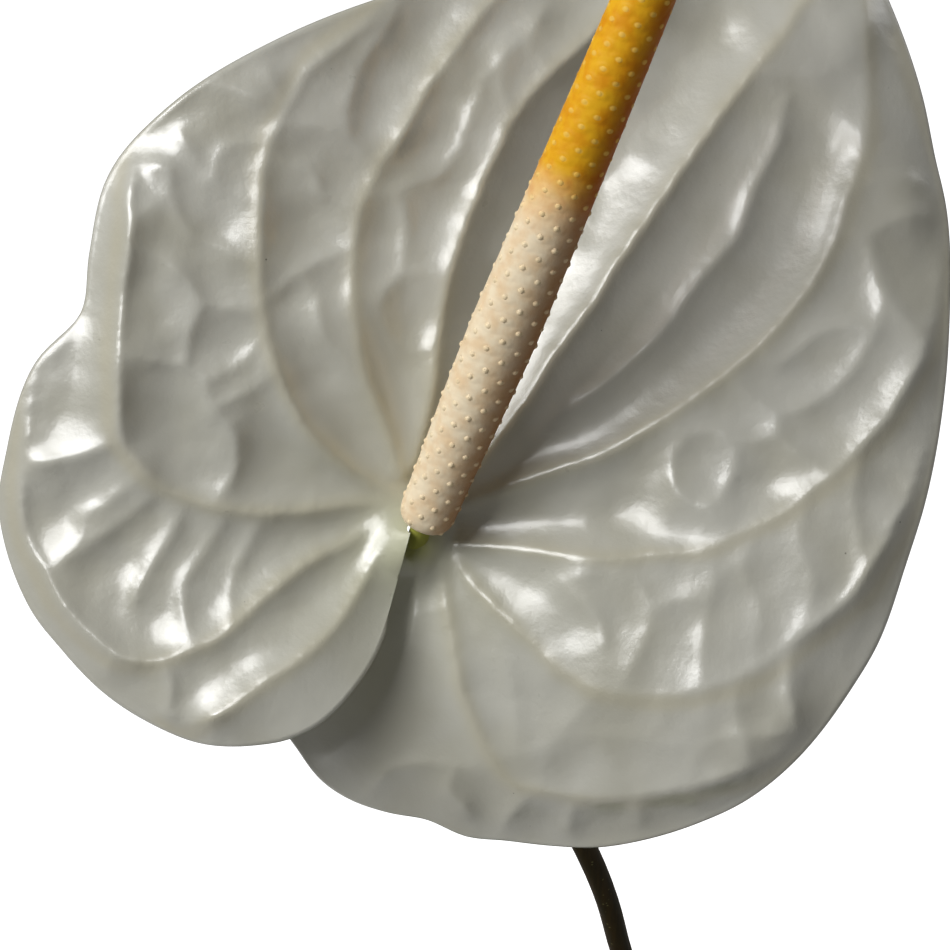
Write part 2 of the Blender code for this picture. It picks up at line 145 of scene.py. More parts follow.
class Graph:
    """One material's nodes, around its Principled shader."""

    def __init__(self, name: str) -> None:
        """Starts an empty material.

        Args:
            name: The material's name.
        """
        self.material = bpy.data.materials.new(name)
        self.material.use_nodes = True
        self.tree = self.material.node_tree
        self.shader = self.tree.nodes["Principled BSDF"]

    def node(self, kind: str, settings: dict[str, Any], inputs: dict[Any, Any], output: Any = 0) -> Value:
        """Adds a node.

        Args:
            kind: The node's type.
            settings: Its own settings, set before its sockets.
            inputs: A number, colour, vector or Value for each named or numbered socket.
            output: The socket that is returned.

        Returns:
            The chosen output.
        """
        made = self.tree.nodes.new(kind)
        for name, setting in settings.items():
            setattr(made, name, setting)
        for name, given in inputs.items():
            if isinstance(given, Value):
                self.tree.links.new(given.socket, made.inputs[name])
            else:
                made.inputs[name].default_value = given
        return Value(self, made.outputs[output])

    def place(self) -> Value:
        """Returns the point's place on the piece, in metres."""
        return self.node("ShaderNodeTexCoord", {}, {}, "Object")

    def attribute(self, name: str) -> Value:
        """Returns one of the mesh's own numbers."""
        return self.node("ShaderNodeAttribute", {"attribute_name": name}, {}, "Fac")

    def axis(self, vector: Value, axis: str) -> Value:
        """Returns one part of a vector, by its letter."""
        return self.node("ShaderNodeSeparateXYZ", {}, {0: vector}, axis)

    def stretched(self, scale: Sequence[float]) -> Value:
        """Returns the point's place with each axis scaled."""
        return self.node("ShaderNodeMapping", {}, {"Vector": self.place(), "Scale": scale})

    def noise(
        self, size: float, vector: Value | None = None, detail: float = 3.0, rough: float = 0.5
    ) -> Value:
        """Adds a soft noise.

        Args:
            size: How wide its patches are, in metres.
            vector: Where it is read, or the point's place.
            detail: How many finer layers it has.
            rough: How strong the finer layers are.

        Returns:
            The noise, from 0 to 1.
        """
        inputs = {"Vector": vector or self.place(), "Scale": 1 / size, "Detail": detail, "Roughness": rough}
        return self.node("ShaderNodeTexNoise", {}, inputs, "Fac")

    def cells(self, size: float, vector: Value | None = None, feature: str = "F1") -> Value:
        """Adds a pattern of cells.

        Args:
            size: How wide a cell is, in metres.
            vector: Where it is read, or the point's place.
            feature: The Voronoi feature that is measured.

        Returns:
            The distance to the cell's middle or edge, over the cell's size.
        """
        inputs = {"Vector": vector or self.place(), "Scale": 1 / size}
        return self.node("ShaderNodeTexVoronoi", {"feature": feature}, inputs, "Distance")

    def mix(self, factor: Value | float, first: Value | Colour, second: Value | Colour) -> Value:
        """Mixes two colours.

        Args:
            factor: The share of the second.
            first: The colour at 0.
            second: The colour at 1.

        Returns:
            The mixed colour.
        """
        sides = [c if isinstance(c, Value) else (*c, 1.0) for c in (first, second)]
        inputs = {0: factor, 6: sides[0], 7: sides[1]}
        return self.node("ShaderNodeMix", {"data_type": "RGBA"}, inputs, 2)

    def bump(self, height: Value, depth: float, below: Value | None = None) -> Value:
        """Turns a height into a normal.

        Args:
            height: The height, about 0 to 1.
            depth: How high 1 stands, in metres.
            below: A normal that it is laid over.

        Returns:
            The bent normal.
        """
        inputs = {"Height": height, "Distance": depth, "Strength": 1.0}
        if below is not None:
            inputs["Normal"] = below
        return self.node("ShaderNodeBump", {}, inputs)

    def finish(self, **sockets: Any) -> bpy.types.Material:
        """Sets the Principled shader's sockets.

        Args:
            sockets: Values for its sockets, with _ for a space in each name.

        Returns:
            The finished material.
        """
        for name, given in sockets.items():
            socket = self.shader.inputs[name.replace("_", " ")]
            if isinstance(given, Value):
                self.tree.links.new(given.socket, socket)
            elif socket.type == "RGBA":
                socket.default_value = (*given, 1.0)
            else:
                socket.default_value = given
        return self.material


def paint(red: float, green: float, blue: float) -> Colour:
    """Returns a colour given as it looks on a screen, 0 to 255, as the light that it sends back."""
    shares = [channel / 255 for channel in (red, green, blue)]
    return tuple(s / 12.92 if s <= 0.04045 else ((s + 0.055) / 1.055) ** 2.4 for s in shares)


@dataclass(frozen=True)
class SpatheFinish:
    """The bloom's waxy white leaf: greenish at its node, with a fine pearly grain and dark specks."""

    white: Colour = paint(201, 200, 190)
    valley: Colour = paint(192, 190, 176)
    vein: Colour = paint(196, 190, 166)
    node_green: Colour = paint(190, 192, 150)
    heart_green: Colour = paint(146, 148, 60)
    speck: Colour = paint(96, 92, 78)

    def material(self) -> bpy.types.Material:
        """Paints the wax, which reads the mesh's vein, node and heart numbers.

        Returns:
            The material.
        """
        g = Graph("spathe_wax")
        patches = g.noise(14 * MM, detail=2.0)
        colour = g.mix(patches.between(0.35, 0.7), self.white, self.valley)
        colour = g.mix(g.attribute("vein") * 0.55, colour, self.vein)
        colour = g.mix(g.attribute("node") * 0.8, colour, self.node_green)
        colour = g.mix(g.attribute("heart") * 0.85, colour, self.heart_green)
        dirty = g.noise(5 * MM, detail=1.0).between(0.6, 0.66)
        specks = g.cells(3.4 * MM).between(0.045, 0.03) * dirty
        colour = g.mix(specks * 0.85, colour, self.speck)
        skin = g.bump(g.noise(0.55 * MM, detail=2.0), 0.03 * MM)
        dimples = g.bump(g.noise(2.6 * MM, detail=1.0), 0.1 * MM, skin)
        gloss = g.noise(3 * MM, detail=2.0) * 0.14 + 0.24
        return g.finish(
            Base_Color=colour, Roughness=gloss, Normal=dimples, Specular_IOR_Level=0.9,
            Coat_Weight=0.6, Coat_Roughness=0.17,
        )


@dataclass(frozen=True)
class SpadixFinish:
    """The spadix: cream by the node, orange above, a pale point per flower, and painted shade on its unlit
    side.
    """

    origin: Vector
    turn: Matrix
    rise: float
    change: float
    cream: Colour = paint(253, 236, 204)
    shade: Colour = paint(234, 196, 146)
    orange: Colour = paint(246, 186, 34)
    amber: Colour = paint(226, 138, 6)
    # brown and the deep orange below it are painted shade for the side that faces away from the light.
    brown: Colour = paint(160, 102, 46)
    shaded_orange: Colour = paint(172, 68, 0)
    point: Colour = paint(253, 232, 190)
    yellow_point: Colour = paint(252, 212, 104)

    def material(self) -> bpy.types.Material:
        """Paints the club, its pattern on the flowers' spiral and its side away from the light painted in
        shade.

        Returns:
            The material.
        """
        g = Graph("spadix_skin")
        turn = self.turn.to_euler()
        local = g.node(
            "ShaderNodeMapping", {"vector_type": "TEXTURE"},
            {"Vector": g.place(), "Location": tuple(self.origin), "Rotation": tuple(turn)},
        )
        along = g.axis(local, "Z")
        around = g.axis(local, "Y").math("ARCTAN2", g.axis(local, "X")) / math.tau
        count = along / self.rise
        first = (around * 5 - count * (5 * GOLDEN - 2)).nearest()
        second = (count * (8 * GOLDEN - 3) - around * 8).nearest()
        reach = (first * first + second * second + first * second * 0.4).math("SQRT")
        dot = reach.between(0.22, 0.1)
        ring = reach.between(0.5, 0.24)
        upper = (along + g.noise(6 * MM) * 5 * MM).between(self.change - 1.5 * MM, self.change + 8 * MM)
        mottle = g.noise(2.2 * MM, detail=3.0).between(0.3, 0.75)
        # Painted shade: the side away from the key light is mixed towards brown and a deep orange.
        side = (g.axis(local, "X") * -0.6 - g.axis(local, "Y") * 0.8) / (4.4 * MM)
        painted_shade_side = side.between(-0.1, 1.0)
        low = g.mix(mottle * 0.6, self.cream, self.shade)
        low = g.mix(painted_shade_side * 0.9, low, self.brown)
        high = g.mix(mottle * 0.7, self.orange, self.amber)
        high = g.mix(painted_shade_side * 0.9, high, self.shaded_orange)
        skin = g.mix(upper, low, high)
        tips = g.mix(upper, self.point, self.yellow_point)
        colour = g.mix(dot * 0.6, skin, tips)
        relief = g.bump(ring, 0.05 * MM)
        relief = g.bump(g.noise(0.5 * MM, detail=2.0), 0.03 * MM, relief)
        return g.finish(
            Base_Color=colour, Roughness=mottle * 0.1 + 0.46, Normal=relief, Specular_IOR_Level=0.15,
        )


@dataclass(frozen=True)
class StalkFinish:
    """A fleshy green stalk, streaked along its length."""

    name: str
    green: Colour
    streak: Colour
    roughness: float = 0.38
    tip: Colour = paint(150, 152, 66)
    tip_from: float = 10.0

    def material(self) -> bpy.types.Material:
        """Paints the surface.

        Returns:
            The material.
        """
        g = Graph(self.name)
        fibres = g.noise(0.9 * MM, g.stretched((1, 1, 0.06)), detail=2.0)
        mottle = g.noise(7 * MM, detail=3.0)
        colour = g.mix(fibres.between(0.4, 0.65) * 0.6 + mottle * 0.3, self.green, self.streak)
        flecks = g.cells(1.6 * MM).between(0.16, 0.08) * 0.35
        colour = g.mix(flecks, colour, paint(150, 146, 92))
        high = g.axis(g.place(), "Z").between(self.tip_from, self.tip_from + 6 * MM)
        colour = g.mix(high, colour, self.tip)
        skin = g.bump(fibres, 0.06 * MM)
        return g.finish(
            Base_Color=colour, Roughness=mottle * 0.15 + self.roughness, Normal=skin,
            Specular_IOR_Level=0.2,
        )


@dataclass(frozen=True)
class LeafFinish:
    """A glossy dark leaf with paler veins above and a dull, paler underside."""

    deep: Colour = paint(26, 66, 26)
    fresh: Colour = paint(48, 92, 34)
    vein: Colour = paint(104, 138, 62)
    under: Colour = paint(96, 128, 70)

    def material(self) -> bpy.types.Material:
        """Paints the blade, which reads the mesh's vein and under numbers.

        Returns:
            The material.
        """
        g = Graph("leaf_blade_green")
        patches = g.noise(22 * MM, detail=3.0)
        colour = g.mix(patches.between(0.3, 0.75), self.deep, self.fresh)
        net = g.cells(2.1 * MM, feature="DISTANCE_TO_EDGE").between(0.12, 0.0)
        colour = g.mix(net * 0.16, colour, self.vein)
        colour = g.mix(g.attribute("vein") * 0.75, colour, self.vein)
        under = g.attribute("under")
        colour = g.mix(under * 0.8, colour, self.under)
        relief = g.bump(net, -0.1 * MM)
        relief = g.bump(g.noise(0.7 * MM, detail=2.0), 0.02 * MM, relief)
        gloss = patches * 0.1 + under * 0.25 + 0.24
        return g.finish(Base_Color=colour, Roughness=gloss, Normal=relief, Specular_IOR_Level=0.5)


@dataclass(frozen=True)
class YoungFinish:
    """The tender yellow-green of the leaf that is still rolled, with its faint ribs."""

    green: Colour = paint(132, 158, 58)
    rib: Colour = paint(168, 184, 96)
    blush: Colour = paint(122, 96, 52)

    def material(self) -> bpy.types.Material:
        """Paints the surface.

        Returns:
            The material.
        """
        g = Graph("young_leaf_green")
        ribs = g.noise(1.4 * MM, g.stretched((1, 1, 0.12)), detail=2.0)
        colour = g.mix(ribs.between(0.42, 0.62) * 0.6, self.green, self.rib)
        low = g.axis(g.place(), "Z").between(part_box("young_leaf_roll")[0].z + 25 * MM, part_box("crown")[1].z)
        colour = g.mix(low * 0.5, colour, self.blush)
        return g.finish(
            Base_Color=colour, Roughness=ribs * 0.15 + 0.28, Normal=g.bump(ribs, 0.08 * MM),
            Specular_IOR_Level=0.45,
        )


@dataclass(frozen=True)
class ClayFinish:
    """Fired clay: orange-brown, grainy, with a chalky bloom of salts and a damp foot."""

    clay: Colour = paint(184, 104, 68)
    burnt: Colour = paint(150, 76, 48)
    chalk: Colour = paint(214, 188, 166)
    damp: Colour = paint(122, 66, 44)

    def material(self) -> bpy.types.Material:
        """Paints the surface.

        Returns:
            The material.
        """
        g = Graph("fired_clay")
        low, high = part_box("pot")
        height = g.axis(g.place(), "Z")
        clouds = g.noise(38 * MM, detail=5.0, rough=0.6)
        colour = g.mix(clouds.between(0.3, 0.72), self.clay, self.burnt)
        damp = height.between(low.z + 34 * MM, low.z + 4 * MM) * clouds.between(0.35, 0.6)
        colour = g.mix(damp * 0.55, colour, self.damp)
        band = (height - (high.z - 42 * MM)).absolute().between(16 * MM, 0.0)
        salts = g.noise(14 * MM, g.stretched((1, 1, 0.8)), detail=7.0, rough=0.7).between(0.48, 0.78)
        colour = g.mix(salts * (band * 0.6 + 0.14), colour, self.chalk)
        grains = g.cells(0.9 * MM)
        colour = g.mix(grains.between(0.2, 0.1) * 0.3, colour, self.damp)
        turning = g.noise(1.6 * MM, g.stretched((0.02, 0.02, 1)), detail=2.0)
        relief = g.bump(turning, 0.12 * MM)
        relief = g.bump(g.noise(0.8 * MM, detail=4.0), 0.12 * MM, relief)
        return g.finish(
            Base_Color=colour, Roughness=0.92 - damp * 0.2, Normal=relief, Specular_IOR_Level=0.25
        )


@dataclass(frozen=True)
class GrainyFinish:
    """A dull, broken surface of two colours, such as bark, soil, pumice or dry paper."""

    name: str
    dark: Colour
    light: Colour
    grain: float
    depth: float
    stretch: tuple[float, float, float] = (1, 1, 1)
    roughness: float = 0.85

    def material(self) -> bpy.types.Material:
        """Paints the surface.

        Returns:
            The material.
        """
        g = Graph(self.name)
        where = g.stretched(self.stretch)
        coarse = g.noise(self.grain * 5, detail=4.0)
        fine = g.noise(self.grain, where, detail=4.0, rough=0.6)
        colour = g.mix(fine.between(0.35, 0.68) * 0.75 + coarse * 0.25, self.dark, self.light)
        return g.finish(
            Base_Color=colour, Roughness=self.roughness - fine * 0.15, Normal=g.bump(fine, self.depth),
            Specular_IOR_Level=0.3,
        )


# ---------------------------------------------------------------- drawing and modelling helpers


def ease(low: float, high: float, value: Any) -> Any:
    """Returns 0 up to low, 1 from high on, and a smooth rise between, for a number or an array."""
    share = np.clip((value - low) / (high - low), 0, 1)
    return share * share * (3 - 2 * share)


def spline(points: Sequence[Sequence[float]], steps: int) -> np.ndarray:
    """Draws a smooth curve through points.

    Args:
        points: The points, of any number of parts each.
        steps: How many steps lead from each point to the next.

    Returns:
        The curve's points, the first and the last of the given ones included.
    """
    given = np.array(points, float)
    ends = np.vstack([2 * given[0] - given[1], given, 2 * given[-1] - given[-2]])
    share = (np.arange(steps) / steps)[:, None]
    made = []
    for before, start, end, after in zip(ends, ends[1:], ends[2:], ends[3:]):
        bend = 2 * before - 5 * start + 4 * end - after
        twist = 3 * start - before - 3 * end + after
        made.append(start + 0.5 * ((end - before) * share + bend * share**2 + twist * share**3))
    return np.vstack([*made, given[-1:]])


def bezier(start: Vector, start_pull: Vector, end_pull: Vector, end: Vector, steps: int) -> list[Vector]:
    """Draws a cubic curve.

    Args:
        start: Where it starts.
        start_pull: The point that it first heads for.
        end_pull: The point that it comes from at its end.
        end: Where it ends.
        steps: How many steps it has.

    Returns:
        Its points, both ends included.
    """
    made = []
    for step in range(steps + 1):
        t = step / steps
        s = 1 - t
        made.append(s**3 * start + 3 * s * s * t * start_pull + 3 * s * t * t * end_pull + t**3 * end)
    return made


def level(angle: float) -> Vector:
    """Returns the level direction at that angle from +X, in radians."""
    return Vector((math.cos(angle), math.sin(angle), 0))


def placement(origin: Vector, along: Vector, front: Vector) -> Matrix:
    """Returns the placement whose X runs along, whose Z is the front, and whose Y completes them."""
    return Matrix.Translation(origin) @ Matrix((along, front.cross(along), front)).transposed().to_4x4()


def zipped(first: np.ndarray, first_at: np.ndarray, second: np.ndarray, second_at: np.ndarray) -> list:
    """Joins two rows of points with triangles.

    Args:
        first: The first row's point numbers.
        first_at: How far along the row each of them is, rising.
        second: The second row's point numbers.
        second_at: How far along the row each of them is, rising.

    Returns:
        The triangles, turned so that they face up where the second row lies to the right of the first.
    """
    made, i, j = [], 0, 0
    while i < len(first) - 1 or j < len(second) - 1:
        step_first = j == len(second) - 1 or (i < len(first) - 1 and first_at[i + 1] <= second_at[j + 1])
        if step_first:
            made.append((first[i], second[j], first[i + 1]))
            i += 1
        else:
            made.append((first[i], second[j], second[j + 1]))
            j += 1
    return made


def ringed(sides: int, rings: int) -> list[tuple[int, ...]]:
    """Closes a body of one point, rings of points and a last point.

    Args:
        sides: How many points a ring has.
        rings: How many rings there are, from the first point up.

    Returns:
        The faces, all turned outwards.
    """
    faces, last, top = [], 1 + sides * rings, 1 + sides * (rings - 1)
    for side in range(sides):
        after = (side + 1) % sides
        for low in range(1, top, sides):
            faces.append((low + side, low + after, low + sides + after, low + sides + side))
        faces += [(0, 1 + after, 1 + side), (last, top + side, top + after)]
    return faces


class Bench:
    """Blender's modelling operators, each used on one piece at a time."""

    @staticmethod
    def clear() -> None:
        """Leaves edit mode and deselects everything."""
        if bpy.context.object and bpy.context.object.mode != "OBJECT":
            bpy.ops.object.mode_set(mode="OBJECT")
        bpy.ops.object.select_all(action="DESELECT")

    @staticmethod
    def pick(*pieces: bpy.types.Object) -> None:
        """Selects these pieces alone.

        Args:
            pieces: The pieces, of which the first becomes active.
        """
        Bench.clear()
        for piece in pieces:
            piece.select_set(True)
        bpy.context.view_layer.objects.active = pieces[0]

    @staticmethod
    def from_arrays(name: str, points: np.ndarray, faces: Sequence) -> bpy.types.Object:
        """Links a mesh as a new piece.

        Args:
            name: The piece's name.
            points: Its points, in metres.
            faces: Its faces, as point numbers.

        Returns:
            The piece.
        """
        mesh = bpy.data.meshes.new(name)
        mesh.from_pydata(points.tolist(), [], faces)
        mesh.update()
        made = bpy.data.objects.new(name, mesh)
        bpy.context.scene.collection.objects.link(made)
        return made

    @staticmethod
    def number(piece: bpy.types.Object, name: str, values: np.ndarray) -> None:
        """Gives each point of a piece one number that its material reads."""
        layer = piece.data.attributes.new(name, "FLOAT", "POINT")
        layer.data.foreach_set("value", values.astype(np.float32))

    @staticmethod
    def tube(
        name: str, points: Iterable[Vector], radii: Sequence[float], roundness: int = 5
    ) -> bpy.types.Object:
        """Draws a curve, gives it a round thickness and turns it into a mesh.

        Args:
            name: The piece's name.
            points: The points along its middle.
            radii: Its radius at each point.
            roundness: How finely it is rounded.

        Returns:
            The piece, closed at both ends.
        """
        Bench.clear()
        bpy.ops.curve.primitive_bezier_curve_add()
        made = bpy.context.object
        line = made.data
        line.splines.clear()
        run = line.splines.new("POLY")
        points = list(points)
        run.points.add(len(points) - 1)
        widest = max(radii)
        for knot, point, radius in zip(run.points, points, radii):
            knot.co = (*point, 1)
            knot.radius = radius / widest
        line.bevel_depth = widest
        line.bevel_resolution = roundness
        line.use_fill_caps = True
        bpy.ops.object.convert(target="MESH")
        made = bpy.context.object
        made.name = made.data.name = name
        bpy.ops.object.mode_set(mode="EDIT")
        bpy.ops.mesh.select_all(action="SELECT")
        bpy.ops.mesh.remove_doubles(threshold=MM / 100)
        bpy.ops.mesh.normals_make_consistent(inside=False)
        bpy.ops.object.mode_set(mode="OBJECT")
        return made

    @staticmethod
    def lathe(name: str, profile: Sequence[tuple[float, float]], sides: int) -> bpy.types.Object:
        """Turns a closed body: a disc is extruded and resized from each station to the next.

        Args:
            name: The piece's name.
            profile: The stations, as (radius, height), each with a radius over 0.
            sides: How many sides the body has.

        Returns:
            The piece, with flat ends.
        """
        Bench.clear()
        radius, height = profile[0]
        bpy.ops.mesh.primitive_circle_add(
            vertices=sides, radius=radius, fill_type="NGON", location=(0, 0, height)
        )
        made = bpy.context.object
        made.name = made.data.name = name
        bpy.ops.object.transform_apply(location=True, rotation=True, scale=True)
        bpy.ops.object.mode_set(mode="EDIT")
        bpy.ops.mesh.select_all(action="SELECT")
        for wider, higher in profile[1:]:
            bpy.ops.mesh.extrude_region_move(TRANSFORM_OT_translate={"value": (0, 0, higher - height)})
            share = wider / radius
            bpy.ops.transform.resize(value=(share, share, 1), center_override=(0, 0, higher))
            radius, height = wider, higher
        bpy.ops.mesh.select_all(action="SELECT")
        bpy.ops.mesh.normals_make_consistent(inside=False)
        bpy.ops.object.mode_set(mode="OBJECT")
        return made

    @staticmethod
    def modify(piece: bpy.types.Object, kind: str, **settings: Any) -> None:
        """Adds a modifier to a piece and applies it.

        Args:
            piece: The piece.
            kind: The modifier's type.
            settings: The modifier's settings.
        """
        Bench.pick(piece)
        modifier = piece.modifiers.new(kind.lower(), kind)
        for name, setting in settings.items():
            setattr(modifier, name, setting)
        bpy.ops.object.modifier_apply(modifier=modifier.name)

    @staticmethod
    def shift(piece: bpy.types.Object, move: Callable[[np.ndarray], np.ndarray]) -> None:
        """Moves every point of a piece by a rule.

        Args:
            piece: The piece.
            move: Takes all points and returns their new places.
        """
        points = np.empty(len(piece.data.vertices) * 3)
        piece.data.vertices.foreach_get("co", points)
        piece.data.vertices.foreach_set("co", move(points.reshape(-1, 3)).ravel())
        piece.data.update()

    @staticmethod
    def scattered(
        name: str, shapes: Sequence[bpy.types.Object], places: Sequence[Matrix]
    ) -> bpy.types.Object:
        """Copies a few shapes to many places, as one piece, and removes the shapes.

        Args:
            name: The piece's name.
            shapes: The shapes that are copied in turn.
            places: Where each copy goes.

        Returns:
            The piece.
        """
        points, faces, count = [], [], 0
        for index, place in enumerate(places):
            mesh = shapes[index % len(shapes)].data
            points += [place @ vertex.co for vertex in mesh.vertices]
            faces += [tuple(i + count for i in face.vertices) for face in mesh.polygons]
            count += len(mesh.vertices)
        for shape in shapes:
            bpy.data.objects.remove(shape)
        return Bench.from_arrays(name, np.array(points), faces)

    @staticmethod
    def deliver(
        piece: bpy.types.Object, finish: bpy.types.Material, slot: str, *nodes: str, sharp: float = 50.0
    ) -> None:
        """Dresses a finished piece and hands it to the frame.

        Args:
            piece: The piece, in place.
            finish: Its material.
            slot: The record's material slot that it belongs to; not used.
            nodes: The CAD nodes that it stands for.
            sharp: The angle over which an edge stays sharp, in degrees.
        """
        piece.data.materials.clear()
        piece.data.materials.append(finish)
        Bench.pick(piece)
        bpy.ops.object.shade_smooth_by_angle(angle=math.radians(sharp))
        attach(piece, ROOT_BODY)
        if nodes:
            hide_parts(*nodes)
        log.info("%s: %d faces", piece.name, len(piece.data.polygons))


# ---------------------------------------------------------------- the bloom


@dataclass(frozen=True)
class BloomPlace:
    """Where the bloom's node is, how its face is tilted, and where the eye stands before it."""

    left: float = 68 * MM
    back: float = 28 * MM
    rise: float = 302 * MM
    tilt: float = math.radians(42)
    eye: tuple[float, float, float] = (9.17, 7.76, 230.0)

    def node(self) -> Vector:
        """Returns the point where stem, spathe and spadix meet."""
        crown_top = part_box("crown")[1].z
        return Vector((-self.left, self.back, crown_top + self.rise))

    def up(self) -> Vector:
        """Returns the way up the bloom's face."""
        return Vector((0, math.sin(self.tilt), math.cos(self.tilt)))

    def front(self) -> Vector:
        """Returns the way that the bloom faces."""
        return Vector((0, -math.cos(self.tilt), math.sin(self.tilt)))

    def flat(self) -> Matrix:
        """Returns the placement of the drawings: X right, Y up the face and Z out of it."""
        return placement(self.node(), Vector((1, 0, 0)), self.front())


class Side(Enum):
    """The two halves of the spathe, on either side of the tip's line."""

    LEFT = 1
    RIGHT = -1


@dataclass(frozen=True)
class Vein:
    """One raised vein of the spathe, drawn on the flat plane in millimetres."""

    side: Side
    points: tuple[tuple[float, float], ...]


def veins(side: Side, *drawn: Sequence[tuple[float, float]]) -> list[Vein]:
    """Returns the drawn lines as veins of one side."""
    return [Vein(side, tuple(points)) for points in drawn]


MAIN_VEINS = veins(
    Side.LEFT,
    [(0.5, 8.5), (3, 18.5), (4, 27), (5, 32.5), (6, 37), (8.5, 44.5), (11.5, 51.5), (15, 58.5),
     (19.5, 64), (24.5, 68.5), (30.5, 75), (36, 80.5), (44, 90), (49, 97)],
    [(-1, 7.5), (-3.5, 15), (-6, 21), (-7.5, 29.5), (-8, 34), (-7, 44.5), (-4, 51), (-0.5, 56.5),
     (3, 63), (8, 70), (12.5, 75.5), (19, 81)],
    [(-1.5, 4.5), (-5, 6.5), (-8.5, 8.5), (-12, 11.5), (-15, 15), (-18.5, 22), (-20, 27), (-21, 34),
     (-21, 43.5), (-20.5, 51.5), (-17.5, 59), (-14, 65), (-9, 69), (-4, 73.5)],
    [(-2, 3.5), (-8.5, 3.5), (-15.5, 2.5), (-24, 2.5), (-31.5, 4.5), (-35.5, 6.5), (-38, 9),
     (-40.5, 12.5), (-41, 18.5), (-41, 27.5), (-39.5, 41), (-39.5, 48), (-38, 55), (-34, 60),
     (-29, 63.5), (-22, 68)],
    [(-2, 2.5), (-8.5, -1.5), (-15.5, -5.5), (-21, -10), (-26, -14.5), (-31, -17), (-36.5, -18.5),
     (-41.5, -17.5), (-46, -14), (-49.5, -10), (-51.5, -6), (-54, -2), (-55, 4), (-54.5, 11.5),
     (-53, 22), (-49.5, 26), (-45, 31)],
    [(-2, 2.5), (-5, -4), (-9, -11.5), (-14, -17), (-22, -22.5), (-26, -25.5), (-30.5, -27.5),
     (-34.5, -26)],
) + veins(
    Side.RIGHT,
    [(5.5, 3.5), (13.5, 14), (17, 19), (21, 25.5), (25.5, 31.5), (29.5, 38), (34, 44.5), (41.5, 55.5),
     (48.5, 65), (53, 70.5), (59, 81), (61.5, 89.5)],
    [(7, 3.5), (12.5, 5.5), (19.5, 8), (27, 10.5), (35.5, 15.5), (44.5, 22), (52, 29), (58.5, 38),
     (62, 48), (64, 53.5), (64.5, 60.5), (64.5, 67.5), (64.5, 75), (63, 83)],
    [(6.5, -2), (12.5, -2.5), (27, -4), (34, -3.5), (41, -3), (46.5, -0.5), (51.5, 2), (59, 7.5),
     (66.5, 15), (71, 22), (74, 29.5), (75, 36.5), (75, 45), (73.5, 52), (71, 60.5), (68, 70)],
    [(6.5, -4), (9.5, -8.5), (17, -16), (21, -20), (27, -23), (35.5, -23.5), (41, -22.5), (48, -20),
     (55, -15), (62, -9.5), (65.5, -4), (70, 4), (73.5, 14), (75, 22.5)],
    [(4.5, -4), (5, -10), (6, -16), (7, -22), (8.5, -26), (10.5, -30.5), (14, -35.5), (19, -37),
     (27, -38), (35.5, -37), (46, -34.5), (54.5, -30), (62, -23), (67, -13.5), (71, -4)],
)

